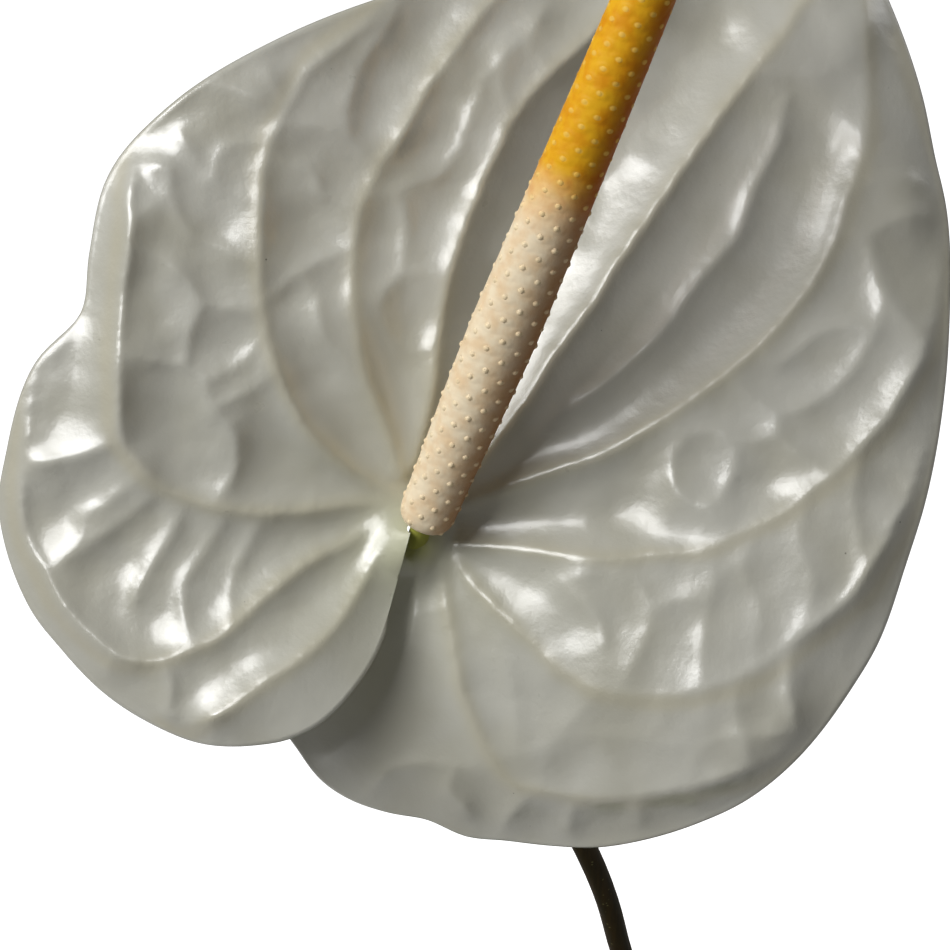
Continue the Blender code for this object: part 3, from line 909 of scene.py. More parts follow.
CROSS_VEINS = veins(
    Side.LEFT,
    [(-40.5, 12.5), (-46.5, 10.5), (-51, 9.5), (-55.5, 9.5)],
    [(-37.5, 8), (-42.5, 4), (-46, 2), (-46.5, -1.5), (-51.5, -6)],
    [(-35, 5.5), (-41, 1), (-46, -2.5), (-51.5, -6)],
    [(-31.5, 3.5), (-34.5, -2), (-37.5, -6.5), (-39, -10)],
    [(-26, 2), (-29, -3), (-31.5, -7), (-32, -10.5), (-31, -16)],
    [(-21, 1.5), (-23.5, -3.5), (-25, -7), (-25.5, -14)],
    [(-49, -11), (-50.5, -14.5)],
    [(-45.5, -15), (-46.5, -18.5)],
    [(-42, -17.5), (-44, -22.5)],
    [(-35, -18.5), (-33.5, -22.5), (-34.5, -26)],
    [(-32.5, 56), (-30, 52), (-27.5, 49), (-24, 47), (-21, 46)],
    [(-36.5, 51.5), (-34, 51), (-33.5, 47), (-31, 42), (-27.5, 40), (-21, 37)],
    [(-40, 39.5), (-36.5, 39), (-31.5, 35.5), (-29, 32), (-21, 30.5)],
    [(-29, 32), (-31, 27.5), (-32.5, 23.5), (-41, 25)],
    [(-32.5, 23.5), (-29, 21.5), (-24.5, 23), (-20.5, 27.5)],
    [(-29, 21.5), (-28, 17), (-25, 14), (-24.5, 9), (-27.5, 3)],
    [(-28, 17), (-23.5, 19), (-19, 22.5)],
    [(-29, 63), (-24, 62), (-18, 59)],
    [(-27.5, 49), (-26.5, 53.5), (-21, 55), (-19.5, 55.5)],
    [(-22, 67), (-19, 63), (-18, 59)],
    [(-33.5, 47), (-37.5, 45), (-39.5, 43)],
    [(-7, 43.5), (-9, 46), (-12, 47), (-14, 50.5), (-17.5, 51.5), (-20, 53)],
    [(-15.5, 36.5), (-13, 32.5), (-12.5, 28), (-9, 23.5), (-6, 20.5)],
    [(-4, 51), (-8, 54.5), (-11.5, 56.5), (-17.5, 57.5)],
    [(-8, 54.5), (-9, 58.5), (-8, 62), (-7, 65.5), (-3.5, 70.5), (-2, 74)],
    [(-20, 32.5), (-15.5, 36.5), (-10, 39), (-7.5, 39)],
    [(5, 35), (3, 36.5), (-1, 36), (-3.5, 33.5), (-4, 30), (-2, 26)],
    [(-2, 26), (1.5, 25), (4, 26)],
    [(-7.5, 29.5), (-4, 30)],
    [(17, 70), (13, 66.5), (10.5, 63), (8.5, 58), (7, 54), (4, 50), (-1.5, 48), (-5, 47)],
    [(15, 58.5), (13.5, 61), (13, 64), (13.5, 68), (17, 70), (19, 73.5)],
    [(20.5, 64.5), (19.5, 66), (17.5, 67.5), (17, 70)],
    [(-1.5, 48), (-0.5, 43), (-1, 36)],
) + veins(
    Side.RIGHT,
    [(49, 64.5), (53.5, 64), (59, 64.5), (64.5, 66.5)],
    [(53, 60.5), (51.5, 53.5), (48.5, 48), (46, 41.5), (41, 35.5), (35.5, 28), (28, 21), (19.5, 15)],
    [(62.5, 48.5), (65.5, 49), (69, 49.5), (73.5, 48)],
    [(60.5, 42.5), (64, 41.5), (67, 43), (70.5, 44.5), (74.5, 43.5)],
    [(64.5, 41.5), (65.5, 38), (67, 33.5), (70, 29.5), (72.5, 27.5)],
    [(49.5, 25.5), (52, 23.5), (55, 25.5), (58, 28), (62, 29), (65.5, 28), (67, 33)],
    [(44.5, 22), (48, 19), (52, 16.5), (57, 18), (62, 22), (65.5, 28)],
    [(35.5, 15.5), (39.5, 13.5), (43.5, 14), (48, 12.5), (52, 13), (55, 10.5), (59, 8)],
    [(39.5, 13.5), (37, 10), (37.5, 5.5), (41, 3), (46, 0)],
    [(43.5, 14), (46, 10), (44.5, 5.5), (41, 3)],
    [(52, 16.5), (52, 13)],
    [(21, -7.5), (24.5, -10.5), (27, -13.5), (27.5, -16.5)],
    [(21, -7.5), (27, -6), (32, -7.5), (34, -11.5), (33, -16), (29.5, -22.5)],
    [(41, -3), (43, -7), (41.5, -13.5), (41, -22.5)],
    [(49, 0.5), (47, -5.5), (49.5, -11.5), (48, -20)],
    [(56.5, 5.5), (55, -1.5), (57, -8), (55, -15)],
    [(64, 12.5), (62.5, 4), (64.5, -5.5)],
    [(34, -11.5), (37.5, -10), (42.5, -10)],
    [(27, -23), (23.5, -26), (21, -29.5)],
    [(10.5, -30.5), (15.5, -32), (21, -29.5), (27, -29), (32.5, -29.5), (39.5, -30.5), (46.5, -29),
     (55, -29)],
    [(37.5, -23.5), (39, -27), (40, -30.5), (39.5, -36)],
    [(46, -20.5), (46, -25.5), (47, -29), (48, -34)],
    [(53.5, -16), (53.5, -22.5), (55, -29.5)],
    [(27, -29.5), (28.5, -33), (30.5, -38)],
    [(19.5, -30.5), (19, -34), (18.5, -37)],
    [(12.5, -15.5), (14.5, -22.5), (15.5, -32)],
    [(35.5, -23.5), (35.5, -27.5), (32.5, -29.5)],
    [(-3.5, -34), (1.5, -33), (7, -33.5), (12.5, -34)],
    [(17.5, -37), (14.5, -40), (12.5, -43)],
    [(23.5, -38), (22.5, -41), (23, -44.5)],
    [(31.5, -37.5), (32.5, -41), (34, -43.5)],
    [(39, -36.5), (41, -38.5), (41.5, -40)],
    [(6.5, -33.5), (5.5, -36.5), (8.5, -40)],
    [(47, -34), (49.5, -36)],
    [(-3.5, -34), (-5.5, -36.5), (-9, -37.5)],
    [(1, -3.5), (0.5, -12.5), (-1.5, -19.5), (-5, -26), (-10, -30.5), (-14, -33)],
)

LEFT_EDGE = [
    (0, 109), (6, 100), (13, 90.6), (23, 82.6), (30, 78.5), (38, 75), (50, 71.6), (63, 69), (74, 66),
    (83, 60), (91, 55.6), (101, 58), (113, 58), (122, 58), (135, 55), (143, 52), (152, 49), (161, 45.6),
    (170, 42), (179, 37), (184, 34), (189, 30), (194, 24), (198, 18), (200, 12),
]
RIGHT_EDGE = [
    (0, 109), (4, 104), (8, 100.5), (15, 95), (20, 91), (25, 88), (33, 82.5), (39, 79), (45, 76), (52, 73),
    (60, 70), (69, 68), (76, 66), (86, 63.5), (94, 61), (101, 58), (108, 55), (115, 52), (121, 49),
    (128, 46), (135, 44), (142, 41), (150, 40), (158, 39), (165, 37.5), (172, 35), (178, 33), (184, 28.6),
    (188, 21), (191, 12),
]


@dataclass
class SpatheRelief:
    """The quilting of the spathe: a skin that hangs between raised veins like a stretched cloth.

    It is worked out on a raster of the blade rolled out flat, where each angle is narrowed a little so
    that the two lobes, which lie over each other, lie side by side.
    """

    tip_angle: float = 55.67
    middle: float = 6.0
    narrowing: float = 0.907
    half_width: float = 116.0
    cell: float = 0.5
    sag: float = 0.16
    node_sag: float = 0.2
    node_reach: float = 15.0
    stiffness: float = 7.5
    cross_hold: float = 1.0
    main_hold: float = 50.0
    neck: float = 3.5
    margin_fall: float = 4.5
    margin_width: float = 5.0
    pucker: float = 0.22
    pucker_size: float = 1.6
    front_blur: float = 0.36
    back_blur: float = 1.6
    vein_blur: float = 0.7
    rounds: int = 260
    grids: list[np.ndarray] = field(default_factory=list)

    def unrolled(self, turn: np.ndarray, away: np.ndarray) -> tuple[np.ndarray, np.ndarray]:
        """Rolls points out flat.

        Args:
            turn: Their angles from the tip's line, in degrees.
            away: Their distances from the node.

        Returns:
            Their two coordinates on the raster, in millimetres.
        """
        angle = np.radians((turn - self.middle) * self.narrowing)
        return away * np.cos(angle), away * np.sin(angle)

    def turns(self, side: Side, points: np.ndarray) -> tuple[np.ndarray, np.ndarray]:
        """Turns drawn points into angles and distances.

        Args:
            side: The side that they lie on.
            points: The points, in millimetres.

        Returns:
            Their angles from the tip's line, in degrees, and their distances from the node.
        """
        angle = np.degrees(np.arctan2(points[:, 1], points[:, 0])) - self.tip_angle
        lowest = -30 if side is Side.LEFT else -330
        return (angle - lowest) % 360 + lowest, np.hypot(points[:, 0], points[:, 1])

    def cells_of(self, vein: Vein, cell: float) -> tuple[np.ndarray, np.ndarray]:
        """Returns the raster's rows and columns that a vein runs through."""
        first, second = self.unrolled(*self.turns(vein.side, spline(vein.points, 48)))
        return self.index(first, cell), self.index(second, cell)

    def index(self, value: np.ndarray, cell: float) -> np.ndarray:
        """Returns the raster's whole steps for a coordinate."""
        return np.rint((value + self.half_width) / cell).astype(int)

    def solve(self, edge: Callable[[np.ndarray], np.ndarray]) -> None:
        """Hangs the skin between the veins, from a coarse raster to the fine one.

        Args:
            edge: Gives the outline's distance from the node at an angle from the tip's line.
        """
        height = None
        for cell in (4.0, 2.0, 1.0, self.cell):
            count = int(2 * self.half_width / cell) + 1
            line = np.arange(count) * cell - self.half_width
            first, second = np.meshgrid(line, line, indexing="ij")
            away = np.hypot(first, second)
            turn = np.degrees(np.arctan2(second, first)) / self.narrowing + self.middle
            limit = edge(turn)
            outside = away > limit
            pull = self.sag * self.slackness(turn, away, limit)
            pull = pull + self.node_sag * np.exp(-away / self.node_reach)
            hold = np.full(away.shape, 1 / self.stiffness**2)
            for vein in CROSS_VEINS:
                hold[self.cells_of(vein, cell)] = self.cross_hold / cell
            for vein in MAIN_VEINS:
                hold[self.cells_of(vein, cell)] = self.main_hold / cell**2
            hold[away < self.neck] = self.main_hold / cell**2
            if height is None:
                height = np.zeros(away.shape)
            else:
                height = np.kron(height, np.ones((2, 2)))[:count, :count]
            fall = -self.margin_fall * self.fall_share(turn)
            wanted = fall * ease(self.margin_width, 0.0, limit - away)
            for _ in range(self.rounds):
                height = np.where(outside, fall, height)
                around = (
                    np.roll(height, 1, 0) + np.roll(height, -1, 0)
                    + np.roll(height, 1, 1) + np.roll(height, -1, 1)
                )
                height = (around - cell**2 * (pull - hold * wanted)) / (4 + cell**2 * hold)
            height = np.where(outside, fall, height)
        fine = self.pucker_size / self.cell
        puckers = self.noise(height.shape, fine) * 0.55 + self.noise(height.shape, 2 * fine)
        inner = np.clip((limit - away) / 6, 0, 1) * ease(10, 30, away)
        height = height + self.pucker * puckers * inner * self.smoothness(turn, away)
        self.grids = [self.blurred(height, b / self.cell) for b in (self.front_blur, self.back_blur)]
        lines = np.zeros(height.shape)
        for vein in MAIN_VEINS:
            lines[self.cells_of(vein, self.cell)] = 1
        self.grids.append(np.clip(self.blurred(lines, self.vein_blur / self.cell) * 3.5, 0, 1))

    @staticmethod
    def slackness(turn: np.ndarray, away: np.ndarray, limit: np.ndarray) -> np.ndarray:
        """Says how much of the full sag each place has: less on the smooth parts.

        Args:
            turn: The places' angles from the tip's line, in degrees.
            away: Their distances from the node.
            limit: The outline's distance from the node at those angles.

        Returns:
            The share.
        """
        smooth_lobe = ease(-128, -140, turn) * ease(-186, -170, turn)
        left_lobe = ease(163, 170, turn)
        tip_plateau = ease(-30, -24, turn) * ease(2, -2, turn) * ease(80, 84, away)
        margin = ease(0.86, 0.94, away / limit) * (0.9 * ease(-92, -105, turn) - 0.3)
        low_right = ease(-48, -58, turn) * ease(-135, -120, turn) * ease(12, 18, away)
        low_right = 0.5 * low_right * ease(0.9, 0.84, away / limit)
        return 1 - 0.75 * smooth_lobe - 0.85 * left_lobe - 0.9 * tip_plateau - low_right + margin

    @staticmethod
    def smoothness(turn: np.ndarray, away: np.ndarray) -> np.ndarray:
        """Says how much of the fine puckering each place has.

        Args:
            turn: The places' angles from the tip's line, in degrees.
            away: Their distances from the node.

        Returns:
            The share, from 0 to 1.
        """
        calm = ease(-48, -40, turn) * ease(4, -2, turn) * ease(90, 74, away)
        left_lobe = ease(160, 168, turn)
        right_lobe = ease(-125, -135, turn)
        return 1 - 0.85 * np.clip(calm + left_lobe + right_lobe, 0, 1)

    @staticmethod
    def fall_share(turn: np.ndarray) -> np.ndarray:
        """Returns how much of its full fall the margin has at each angle."""
        calm = ease(14, 26, turn) * ease(72, 62, turn)
        return 1 - 0.55 * ease(165, 190, np.abs(turn)) - 0.2 * ease(30, 5, np.abs(turn)) - 0.75 * calm

    @staticmethod
    def noise(shape: tuple[int, int], width: float) -> np.ndarray:
        """Returns seeded soft noise of about unit strength, with patches of that many cells."""
        soft = SpatheRelief.blurred(np.random.default_rng(int(width * 10)).standard_normal(shape), width)
        return soft / soft.std()

    @staticmethod
    def blurred(grid: np.ndarray, width: float) -> np.ndarray:
        """Softens a grid by a bell curve.

        Args:
            grid: The grid.
            width: The bell's width, in cells.

        Returns:
            The softened grid.
        """
        reach = max(1, int(width * 3))
        bell = np.exp(-0.5 * (np.arange(-reach, reach + 1) / width) ** 2)
        bell /= bell.sum()
        for axis in (0, 1):
            padded = np.pad(grid, [(reach, reach) if a == axis else (0, 0) for a in (0, 1)], mode="edge")
            size = grid.shape[axis]
            grid = sum(w * np.take(padded, range(k, k + size), axis) for k, w in enumerate(bell))
        return grid

    def read(self, which: int, turn: np.ndarray, away: np.ndarray) -> np.ndarray:
        """Reads a solved grid between its cells.

        Args:
            which: 0 for the front's relief, 1 for the back's and 2 for the nearness of a main vein.
            turn: The angles from the tip's line, in degrees.
            away: The distances from the node.

        Returns:
            The grid's values there.
        """
        grid = self.grids[which]
        first, second = ((c + self.half_width) / self.cell for c in self.unrolled(turn, away))
        row, column = np.floor(first).astype(int), np.floor(second).astype(int)
        down, right = first - row, second - column
        near = grid[row, column] * (1 - right) + grid[row, column + 1] * right
        far = grid[row + 1, column] * (1 - right) + grid[row + 1, column + 1] * right
        return near * (1 - down) + far * down


@dataclass
class Blade:
    """A thin leaf, laid out in rings from its neck to its margin and closed all round its rim.

    Angles are in degrees from the tip's line, rising to the left, and sizes are in millimetres.
    """

    low: float = -180.0
    high: float = 180.0
    thickness: float = 1.1
    neck_radius: float = 0.6
    rings: int = 132
    spacing: float = 0.47
    back_share: int = 3

    def edge(self, turn: np.ndarray) -> np.ndarray:
        """Returns the outline's distance from the neck at an angle."""
        raise NotImplementedError

    def points(self, turn: np.ndarray, share: np.ndarray, back: bool) -> np.ndarray:
        """Places points of the blade.

        Args:
            turn: Their angles from the tip's line.
            share: How far out they are, from 0 at the neck to 1 at the margin.
            back: True for the back face.

        Returns:
            The points.
        """
        raise NotImplementedError

    def surface(self, rings: int, spacing: float) -> tuple[list, list, np.ndarray, np.ndarray]:
        """Lays out one face of the blade as rings of points.

        Args:
            rings: How many steps lead from the neck to the margin.
            spacing: The distance between the points of a ring.

        Returns:
            The rings' angles, the rings' point numbers, all angles and all shares.
        """
        fine = np.linspace(self.low, self.high, 2400)
        reach = self.edge(fine)
        ring_turns, ring_numbers, shares, total = [], [], [], 0
        for ring in range(rings + 1):
            share = ring / rings
            away = self.neck_radius + (reach - self.neck_radius) * share
            steps = np.hypot(np.diff(away), np.radians(np.diff(fine)) * (away[1:] + away[:-1]) / 2)
            length = np.concatenate([[0], np.cumsum(steps)])
            count = max(24, int(length[-1] / spacing))
            ring_turns.append(np.interp(np.linspace(0, length[-1], count), length, fine))
            ring_numbers.append(np.arange(total, total + count))
            shares.append(np.full(count, share))
            total += count
        return ring_turns, ring_numbers, np.concatenate(ring_turns), np.concatenate(shares)

    def mesh(self) -> tuple[np.ndarray, list, np.ndarray, np.ndarray]:
        """Lays out the whole blade.

        Returns:
            Its points, its faces, each point's angle, and 0 on the front, 1 on the back and 0.5 on the rim.
        """
        front_turns, front, turn_f, share_f = self.surface(self.rings, self.spacing)
        back_turns, back, turn_b, share_b = self.surface(
            self.rings // self.back_share, self.spacing * self.back_share
        )
        back = [row + len(turn_f) for row in back]
        points = np.vstack([self.points(turn_f, share_f, False), self.points(turn_b, share_b, True)])
        faces = []
        for i in range(len(front) - 1):
            faces += zipped(front[i], front_turns[i], front[i + 1], front_turns[i + 1])
        for i in range(len(back) - 1):
            faces += [t[::-1] for t in zipped(back[i], back_turns[i], back[i + 1], back_turns[i + 1])]
        both = len(points)
        points, faces = self.rim(points, faces, front, back, front_turns, back_turns)
        rest = len(points) - both
        turn = np.concatenate([turn_f, turn_b, np.resize(front_turns[-1], rest)])
        under = np.concatenate([np.zeros(len(turn_f)), np.ones(len(turn_b)), np.full(rest, 0.5)])
        return points, faces, turn, under

    def rim(
        self, points: np.ndarray, faces: list, front: list, back: list, front_turns: list, back_turns: list
    ) -> tuple[np.ndarray, list]:
        """Closes the blade: a rounded margin, the two edges of the sinus and the neck.

        Args:
            points: The points of both faces.
            faces: Their triangles.
            front: The front's rings of point numbers.
            back: The back's rings of point numbers.
            front_turns: The front rings' angles.
            back_turns: The back rings' angles.

        Returns:
            All points and all faces.
        """
        left_front, left_back = [r[-1] for r in front], [r[-1] for r in back]
        right_front, right_back = [r[0] for r in front], [r[0] for r in back]
        front_share, back_share = np.linspace(0, 1, len(front)), np.linspace(0, 1, len(back))
        faces = faces + zipped(left_back, back_share, left_front, front_share)
        faces += [t[::-1] for t in zipped(right_back, back_share, right_front, front_share)]
        faces += zipped(back[0], back_turns[0], front[0], front_turns[0])
        outer, outer_turns = np.array(front[-1]), front_turns[-1]
        top = points[outer]
        bottom = np.column_stack(
            [np.interp(outer_turns, back_turns[-1], points[back[-1]][:, axis]) for axis in range(3)]
        )
        run = np.gradient(top[:, :2], axis=0)
        outward = np.stack([run[:, 1], -run[:, 0]], 1) / np.hypot(run[:, 0], run[:, 1])[:, None]
        middle, half = (top + bottom) / 2, (top - bottom) / 2
        step = np.arange(len(outer)) * self.spacing
        swell = outward * ease(0, 4, np.minimum(step, step[::-1]))[:, None] * self.thickness / 2
        rows, count = [outer], len(points)
        for angle in (45, 90, 135):
            turn = math.radians(angle)
            row = middle + half * math.cos(turn)
            row[:, :2] += swell * math.sin(turn)
            points = np.vstack([points, row])
            rows.append(np.arange(count, count + len(row)))
            count += len(row)
        for upper, lower in zip(rows, rows[1:]):
            faces += zipped(upper, outer_turns, lower, outer_turns)
        faces += zipped(rows[-1], outer_turns, back[-1], back_turns[-1])
        ends = [r[0] for r in rows] + [back[-1][0]]
        faces += [(ends[0], ends[k + 1], ends[k]) for k in range(1, len(ends) - 1)]
        ends = [r[-1] for r in rows] + [back[-1][-1]]
        faces += [(ends[0], ends[k], ends[k + 1]) for k in range(1, len(ends) - 1)]
        return points, faces


@dataclass
class Spathe(Blade):
    """The white heart-shaped leaf of the bloom, thin and quilted."""

    place: BloomPlace = field(default_factory=BloomPlace)
    low: float = -191.0
    high: float = 200.0
    neck_centre: tuple[float, float] = (0.2, 0.2)
    collar_centre: tuple[float, float] = (1.2, -1.3)
    collar_height: float = 4.0
    collar_left: float = 4.8
    collar_right: float = 2.8
    collar_above: float = 3.6
    collar_below: float = 5.5
    funnel: float = 5.0
    funnel_radius: float = 18.0
    tip_fall: float = 6.0
    trough: float = 0.19
    trough_floor: float = 14.0
    trough_left: float = 0.6
    bottom_fall: float = 0.13
    lobe_start: float = 115.0
    lobe_end: float = 195.0
    lobe_lift: float = 5.5
    lobe_drop: float = 4.0
    node_split: float = 1.8
    relief: SpatheRelief = field(default_factory=SpatheRelief)

    def edge(self, turn: np.ndarray) -> np.ndarray:
        """Returns the outline's distance from the node at an angle."""
        both = np.vstack([spline(RIGHT_EDGE, 6)[::-1] * (-1, 1), spline(LEFT_EDGE, 6)[1:]])
        return np.interp(turn, both[:, 0], both[:, 1])

    def macro(self, turn: np.ndarray, away: np.ndarray, along: np.ndarray) -> np.ndarray:
        """Shapes the large form: funnel, trough, falling tip and overlapping lobes.

        Args:
            turn: The points' angles from the tip's line, in degrees.
            away: Their distances from the node.
            along: Their distances towards the tip.

        Returns:
            Their heights.
        """
        funnel = self.funnel * (1 - np.exp(-((away / self.funnel_radius) ** 2)))
        tip = self.tip_fall * np.maximum(0, along / LEFT_EDGE[0][1]) ** 4
        out = away / (LEFT_EDGE[0][1] / 3)
        lift = self.lobe_lift * ease(self.lobe_start, self.lobe_end, turn) * out
        drop = self.lobe_drop * ease(self.lobe_start, self.lobe_end, -turn) * out
        across = np.sqrt(np.maximum(0, away**2 - along**2))
        trough = self.trough * (np.hypot(across, self.trough_floor) - self.trough_floor)
        left = self.trough_left * ease(135, 95, turn) * ease(18, 55, turn)
        trough = trough * np.where(turn > 0, left, ease(-140, -85, turn))
        bottom = self.bottom_fall * ease(-85, -125, turn) * np.maximum(0, away - 12)
        return funnel + trough - bottom - tip + lift - drop + self.node_split * turn / self.lobe_end

    def points(self, turn: np.ndarray, share: np.ndarray, back: bool) -> np.ndarray:
        """Places points of the blade in the drawings' frame, each on its line of sight.

        Args:
            turn: Their angles from the tip's line.
            share: How far out they are, from 0 at the neck to 1 at the margin.
            back: True for the back face.

        Returns:
            The points.
        """
        angle = np.radians(turn + self.relief.tip_angle)
        ray = np.stack([np.cos(angle), np.sin(angle)], 1)
        start = np.array(self.neck_centre) + ray * self.neck_radius
        rim = ray * (self.edge(turn) - self.thickness / 2)[:, None]
        flat = start + (rim - start) * share[:, None]
        away = np.hypot(flat[:, 0], flat[:, 1])
        drawn = np.degrees(np.arctan2(flat[:, 1], flat[:, 0])) - self.relief.tip_angle - turn
        drawn = (drawn + 180) % 360 - 180
        turn = np.clip(turn + drawn * ease(2.0, 9.0, away), self.low, self.high)
        relief = self.relief.read(1 if back else 0, turn, away)
        height = self.macro(turn, away, away * np.cos(np.radians(turn))) + relief * ease(3.0, 7.0, away)
        across, along = flat[:, 0] - self.collar_centre[0], flat[:, 1] - self.collar_centre[1]
        across = across / np.where(across > 0, self.collar_right, self.collar_left)
        along = along / np.where(along > 0, self.collar_above, self.collar_below)
        height = height + self.collar_height * np.exp(-(across**2) - along**2)
        if back:
            height = height - self.thickness * (1 + 0.5 * ease(20, 4, away))
        axis = np.array(self.place.eye[:2])
        seen = axis + (flat - axis) * (1 - height / self.place.eye[2])[:, None]
        return np.column_stack([seen, height])

    def build(self) -> None:
        """Builds the spathe."""
        self.relief.solve(self.edge)
        points, faces, turn, under = self.mesh()
        piece = Bench.from_arrays("spathe_blade", points * MM, faces)
        away = np.hypot(points[:, 0], points[:, 1])
        inner = np.minimum(away, self.edge(turn) - 1)
        nearness = self.relief.read(2, turn, inner) * ease(4, 12, away) * (1 - under)
        Bench.number(piece, "vein", nearness)
        lobes = ease(120, 190, np.abs(turn)) * 4
        Bench.number(piece, "node", 0.45 * np.exp(-((away / (6 + lobes)) ** 2)) + 0.3 * np.exp(-away / 20))
        heart = ease(5.5, 1.5, np.hypot(points[:, 0], points[:, 1] + 1.5))
        Bench.number(piece, "heart", heart * (turn < 0))
        piece.data.transform(self.place.flat())
        Bench.deliver(piece, SpatheFinish().material(), "spathe_white", "spathe", sharp=80)


@dataclass
class Spadix:
    """The spadix: a slim round club with a tiny pointed flower at each place of a golden spiral."""

    place: BloomPlace
    length: float = 103 * MM
    radius: float = 4.6 * MM
    base_radius: float = 3.9 * MM
    tip_radius: float = 3.1 * MM
    belly: float = 0.32
    foot_round: float = 2.6 * MM
    foot_share: float = 0.55
    cap: float = 1.6
    tilt: float = math.radians(25)
    turn: float = math.radians(23.3)
    stipe: float = 3 * MM
    sidestep: float = 1.5 * MM
    gap: float = -1.0 * MM
    flower_rise: float = 0.215 * MM
    flower_width: float = 0.42
    flower_height: float = 0.07
    low_width: float = 0.06
    low_height: float = 0.17
    flower_lean: float = 0.12
    first_flower: int = 4
    change: float = 49.5 * MM
    sides: int = 96
    rows: int = 300

    def direction(self) -> Vector:
        """Returns the way that the spadix points."""
        flat = self.place.up() * math.cos(self.turn) + Vector((1, 0, 0)) * math.sin(self.turn)
        return flat * math.cos(self.tilt) + self.place.front() * math.sin(self.tilt)

    def head(self) -> Vector:
        """Returns where the flower stem ends and the spadix starts."""
        sidestep = Vector((self.sidestep, 0, 0))
        return self.place.node() + self.place.front() * self.stipe + sidestep + self.direction() * 2 * MM

    def girth(self, height: float) -> float:
        """Shapes a blunt foot, a belly and a round tip.

        Args:
            height: The height above the foot.

        Returns:
            The radius there.
        """
        share = height / self.length
        if share < self.belly:
            body = self.base_radius + (self.radius - self.base_radius) * float(ease(0, self.belly, share))
        else:
            past = (share - self.belly) / (1 - self.belly)
            body = self.radius + (self.tip_radius - self.radius) * past
        foot = math.sqrt(max(0.0, 1 - (1 - min(1, height / self.foot_round)) ** 2))
        foot = self.foot_share + (1 - self.foot_share) * foot
        cap = self.cap * self.tip_radius
        past = max(0.0, (height - (self.length - cap)) / cap)
        return body * foot * math.sqrt(max(0.0, 1 - past * past))

    def body(self) -> tuple[np.ndarray, list]:
        """Shapes the club without its flowers, upright at the origin.

        Returns:
            Its points and its faces.
        """
        rise = (1 - np.cos(np.linspace(0, math.pi, self.rows + 1))) / 2
        heights = self.length * (0.12 * rise + 0.88 * np.linspace(0, 1, self.rows + 1))
        turns = np.arange(self.sides) * math.tau / self.sides
        points = [[0, 0, 0.0]]
        for height in heights[:-1]:
            girth = self.girth(max(height, 0.02 * MM))
            points += [[girth * math.cos(t), girth * math.sin(t), height] for t in turns]
        points.append([0, 0, self.length])
        return np.array(points), ringed(self.sides, self.rows)

    def flower(self, width: float, height: float) -> tuple[np.ndarray, list]:
        """Shapes one tiny pointed flower, pointing up, that starts under the skin.

        Args:
            width: Its radius.
            height: How far it stands out.

        Returns:
            Its points and its faces.
        """
        sides, stations, points = 6, ((1.0, -0.25), (0.8, 0.28), (0.42, 0.74)), []
        for reach, rise in stations:
            for side in range(sides):
                corner = level(side * math.tau / sides) * width * reach
                points.append([corner.x, corner.y, rise * height])
        points.append([0, 0, height])
        faces = [tuple(i - 1 for i in face) for face in ringed(sides, len(stations)) if 0 not in face]
        return np.array(points), [*faces, tuple(range(sides))[::-1]]

    def build(self) -> None:
        """Builds the spadix."""
        points, faces = self.body()
        chance = np.random.default_rng(11)
        all_points, all_faces, count = [points], list(faces), len(points)
        number = self.first_flower
        while number * self.flower_rise < self.length - 2 * MM:
            height, angle = number * self.flower_rise, number * math.tau * GOLDEN
            low = float(ease(self.change + 9 * MM, self.change - 5 * MM, height))
            low *= 1 + 0.25 * chance.standard_normal()
            size = (self.flower_width + self.low_width * low) * MM
            tall = (self.flower_height + self.low_height * max(0.0, low)) * MM
            girth, slope = self.girth(height), (self.girth(height + MM / 5) - self.girth(height)) * 5 / MM
            ray = level(angle)
            lean = chance.uniform(-self.flower_lean, self.flower_lean, 2)
            out = (ray - UP * slope).normalized() + UP.cross(ray) * lean[0] + UP * lean[1]
            seat = ray * girth + UP * height
            turn = np.array(out.to_track_quat("Z", "Y").to_matrix())
            bud, bud_faces = self.flower(size, tall)
            all_points.append(bud @ turn.T + np.array(seat))
            all_faces += [tuple(i + count for i in face) for face in bud_faces]
            count += len(bud)
            number += 1
        direction = self.direction()
        turn = direction.to_track_quat("Z", "Y").to_matrix()
        origin = self.head() + direction * self.gap
        piece = Bench.from_arrays("spadix_club", np.vstack(all_points), all_faces)
        piece.data.transform(Matrix.Translation(origin) @ turn.to_4x4())
        finish = SpadixFinish(origin, turn, self.flower_rise, self.change)
        Bench.deliver(piece, finish.material(), "spadix_cream", "spadix", sharp=60)


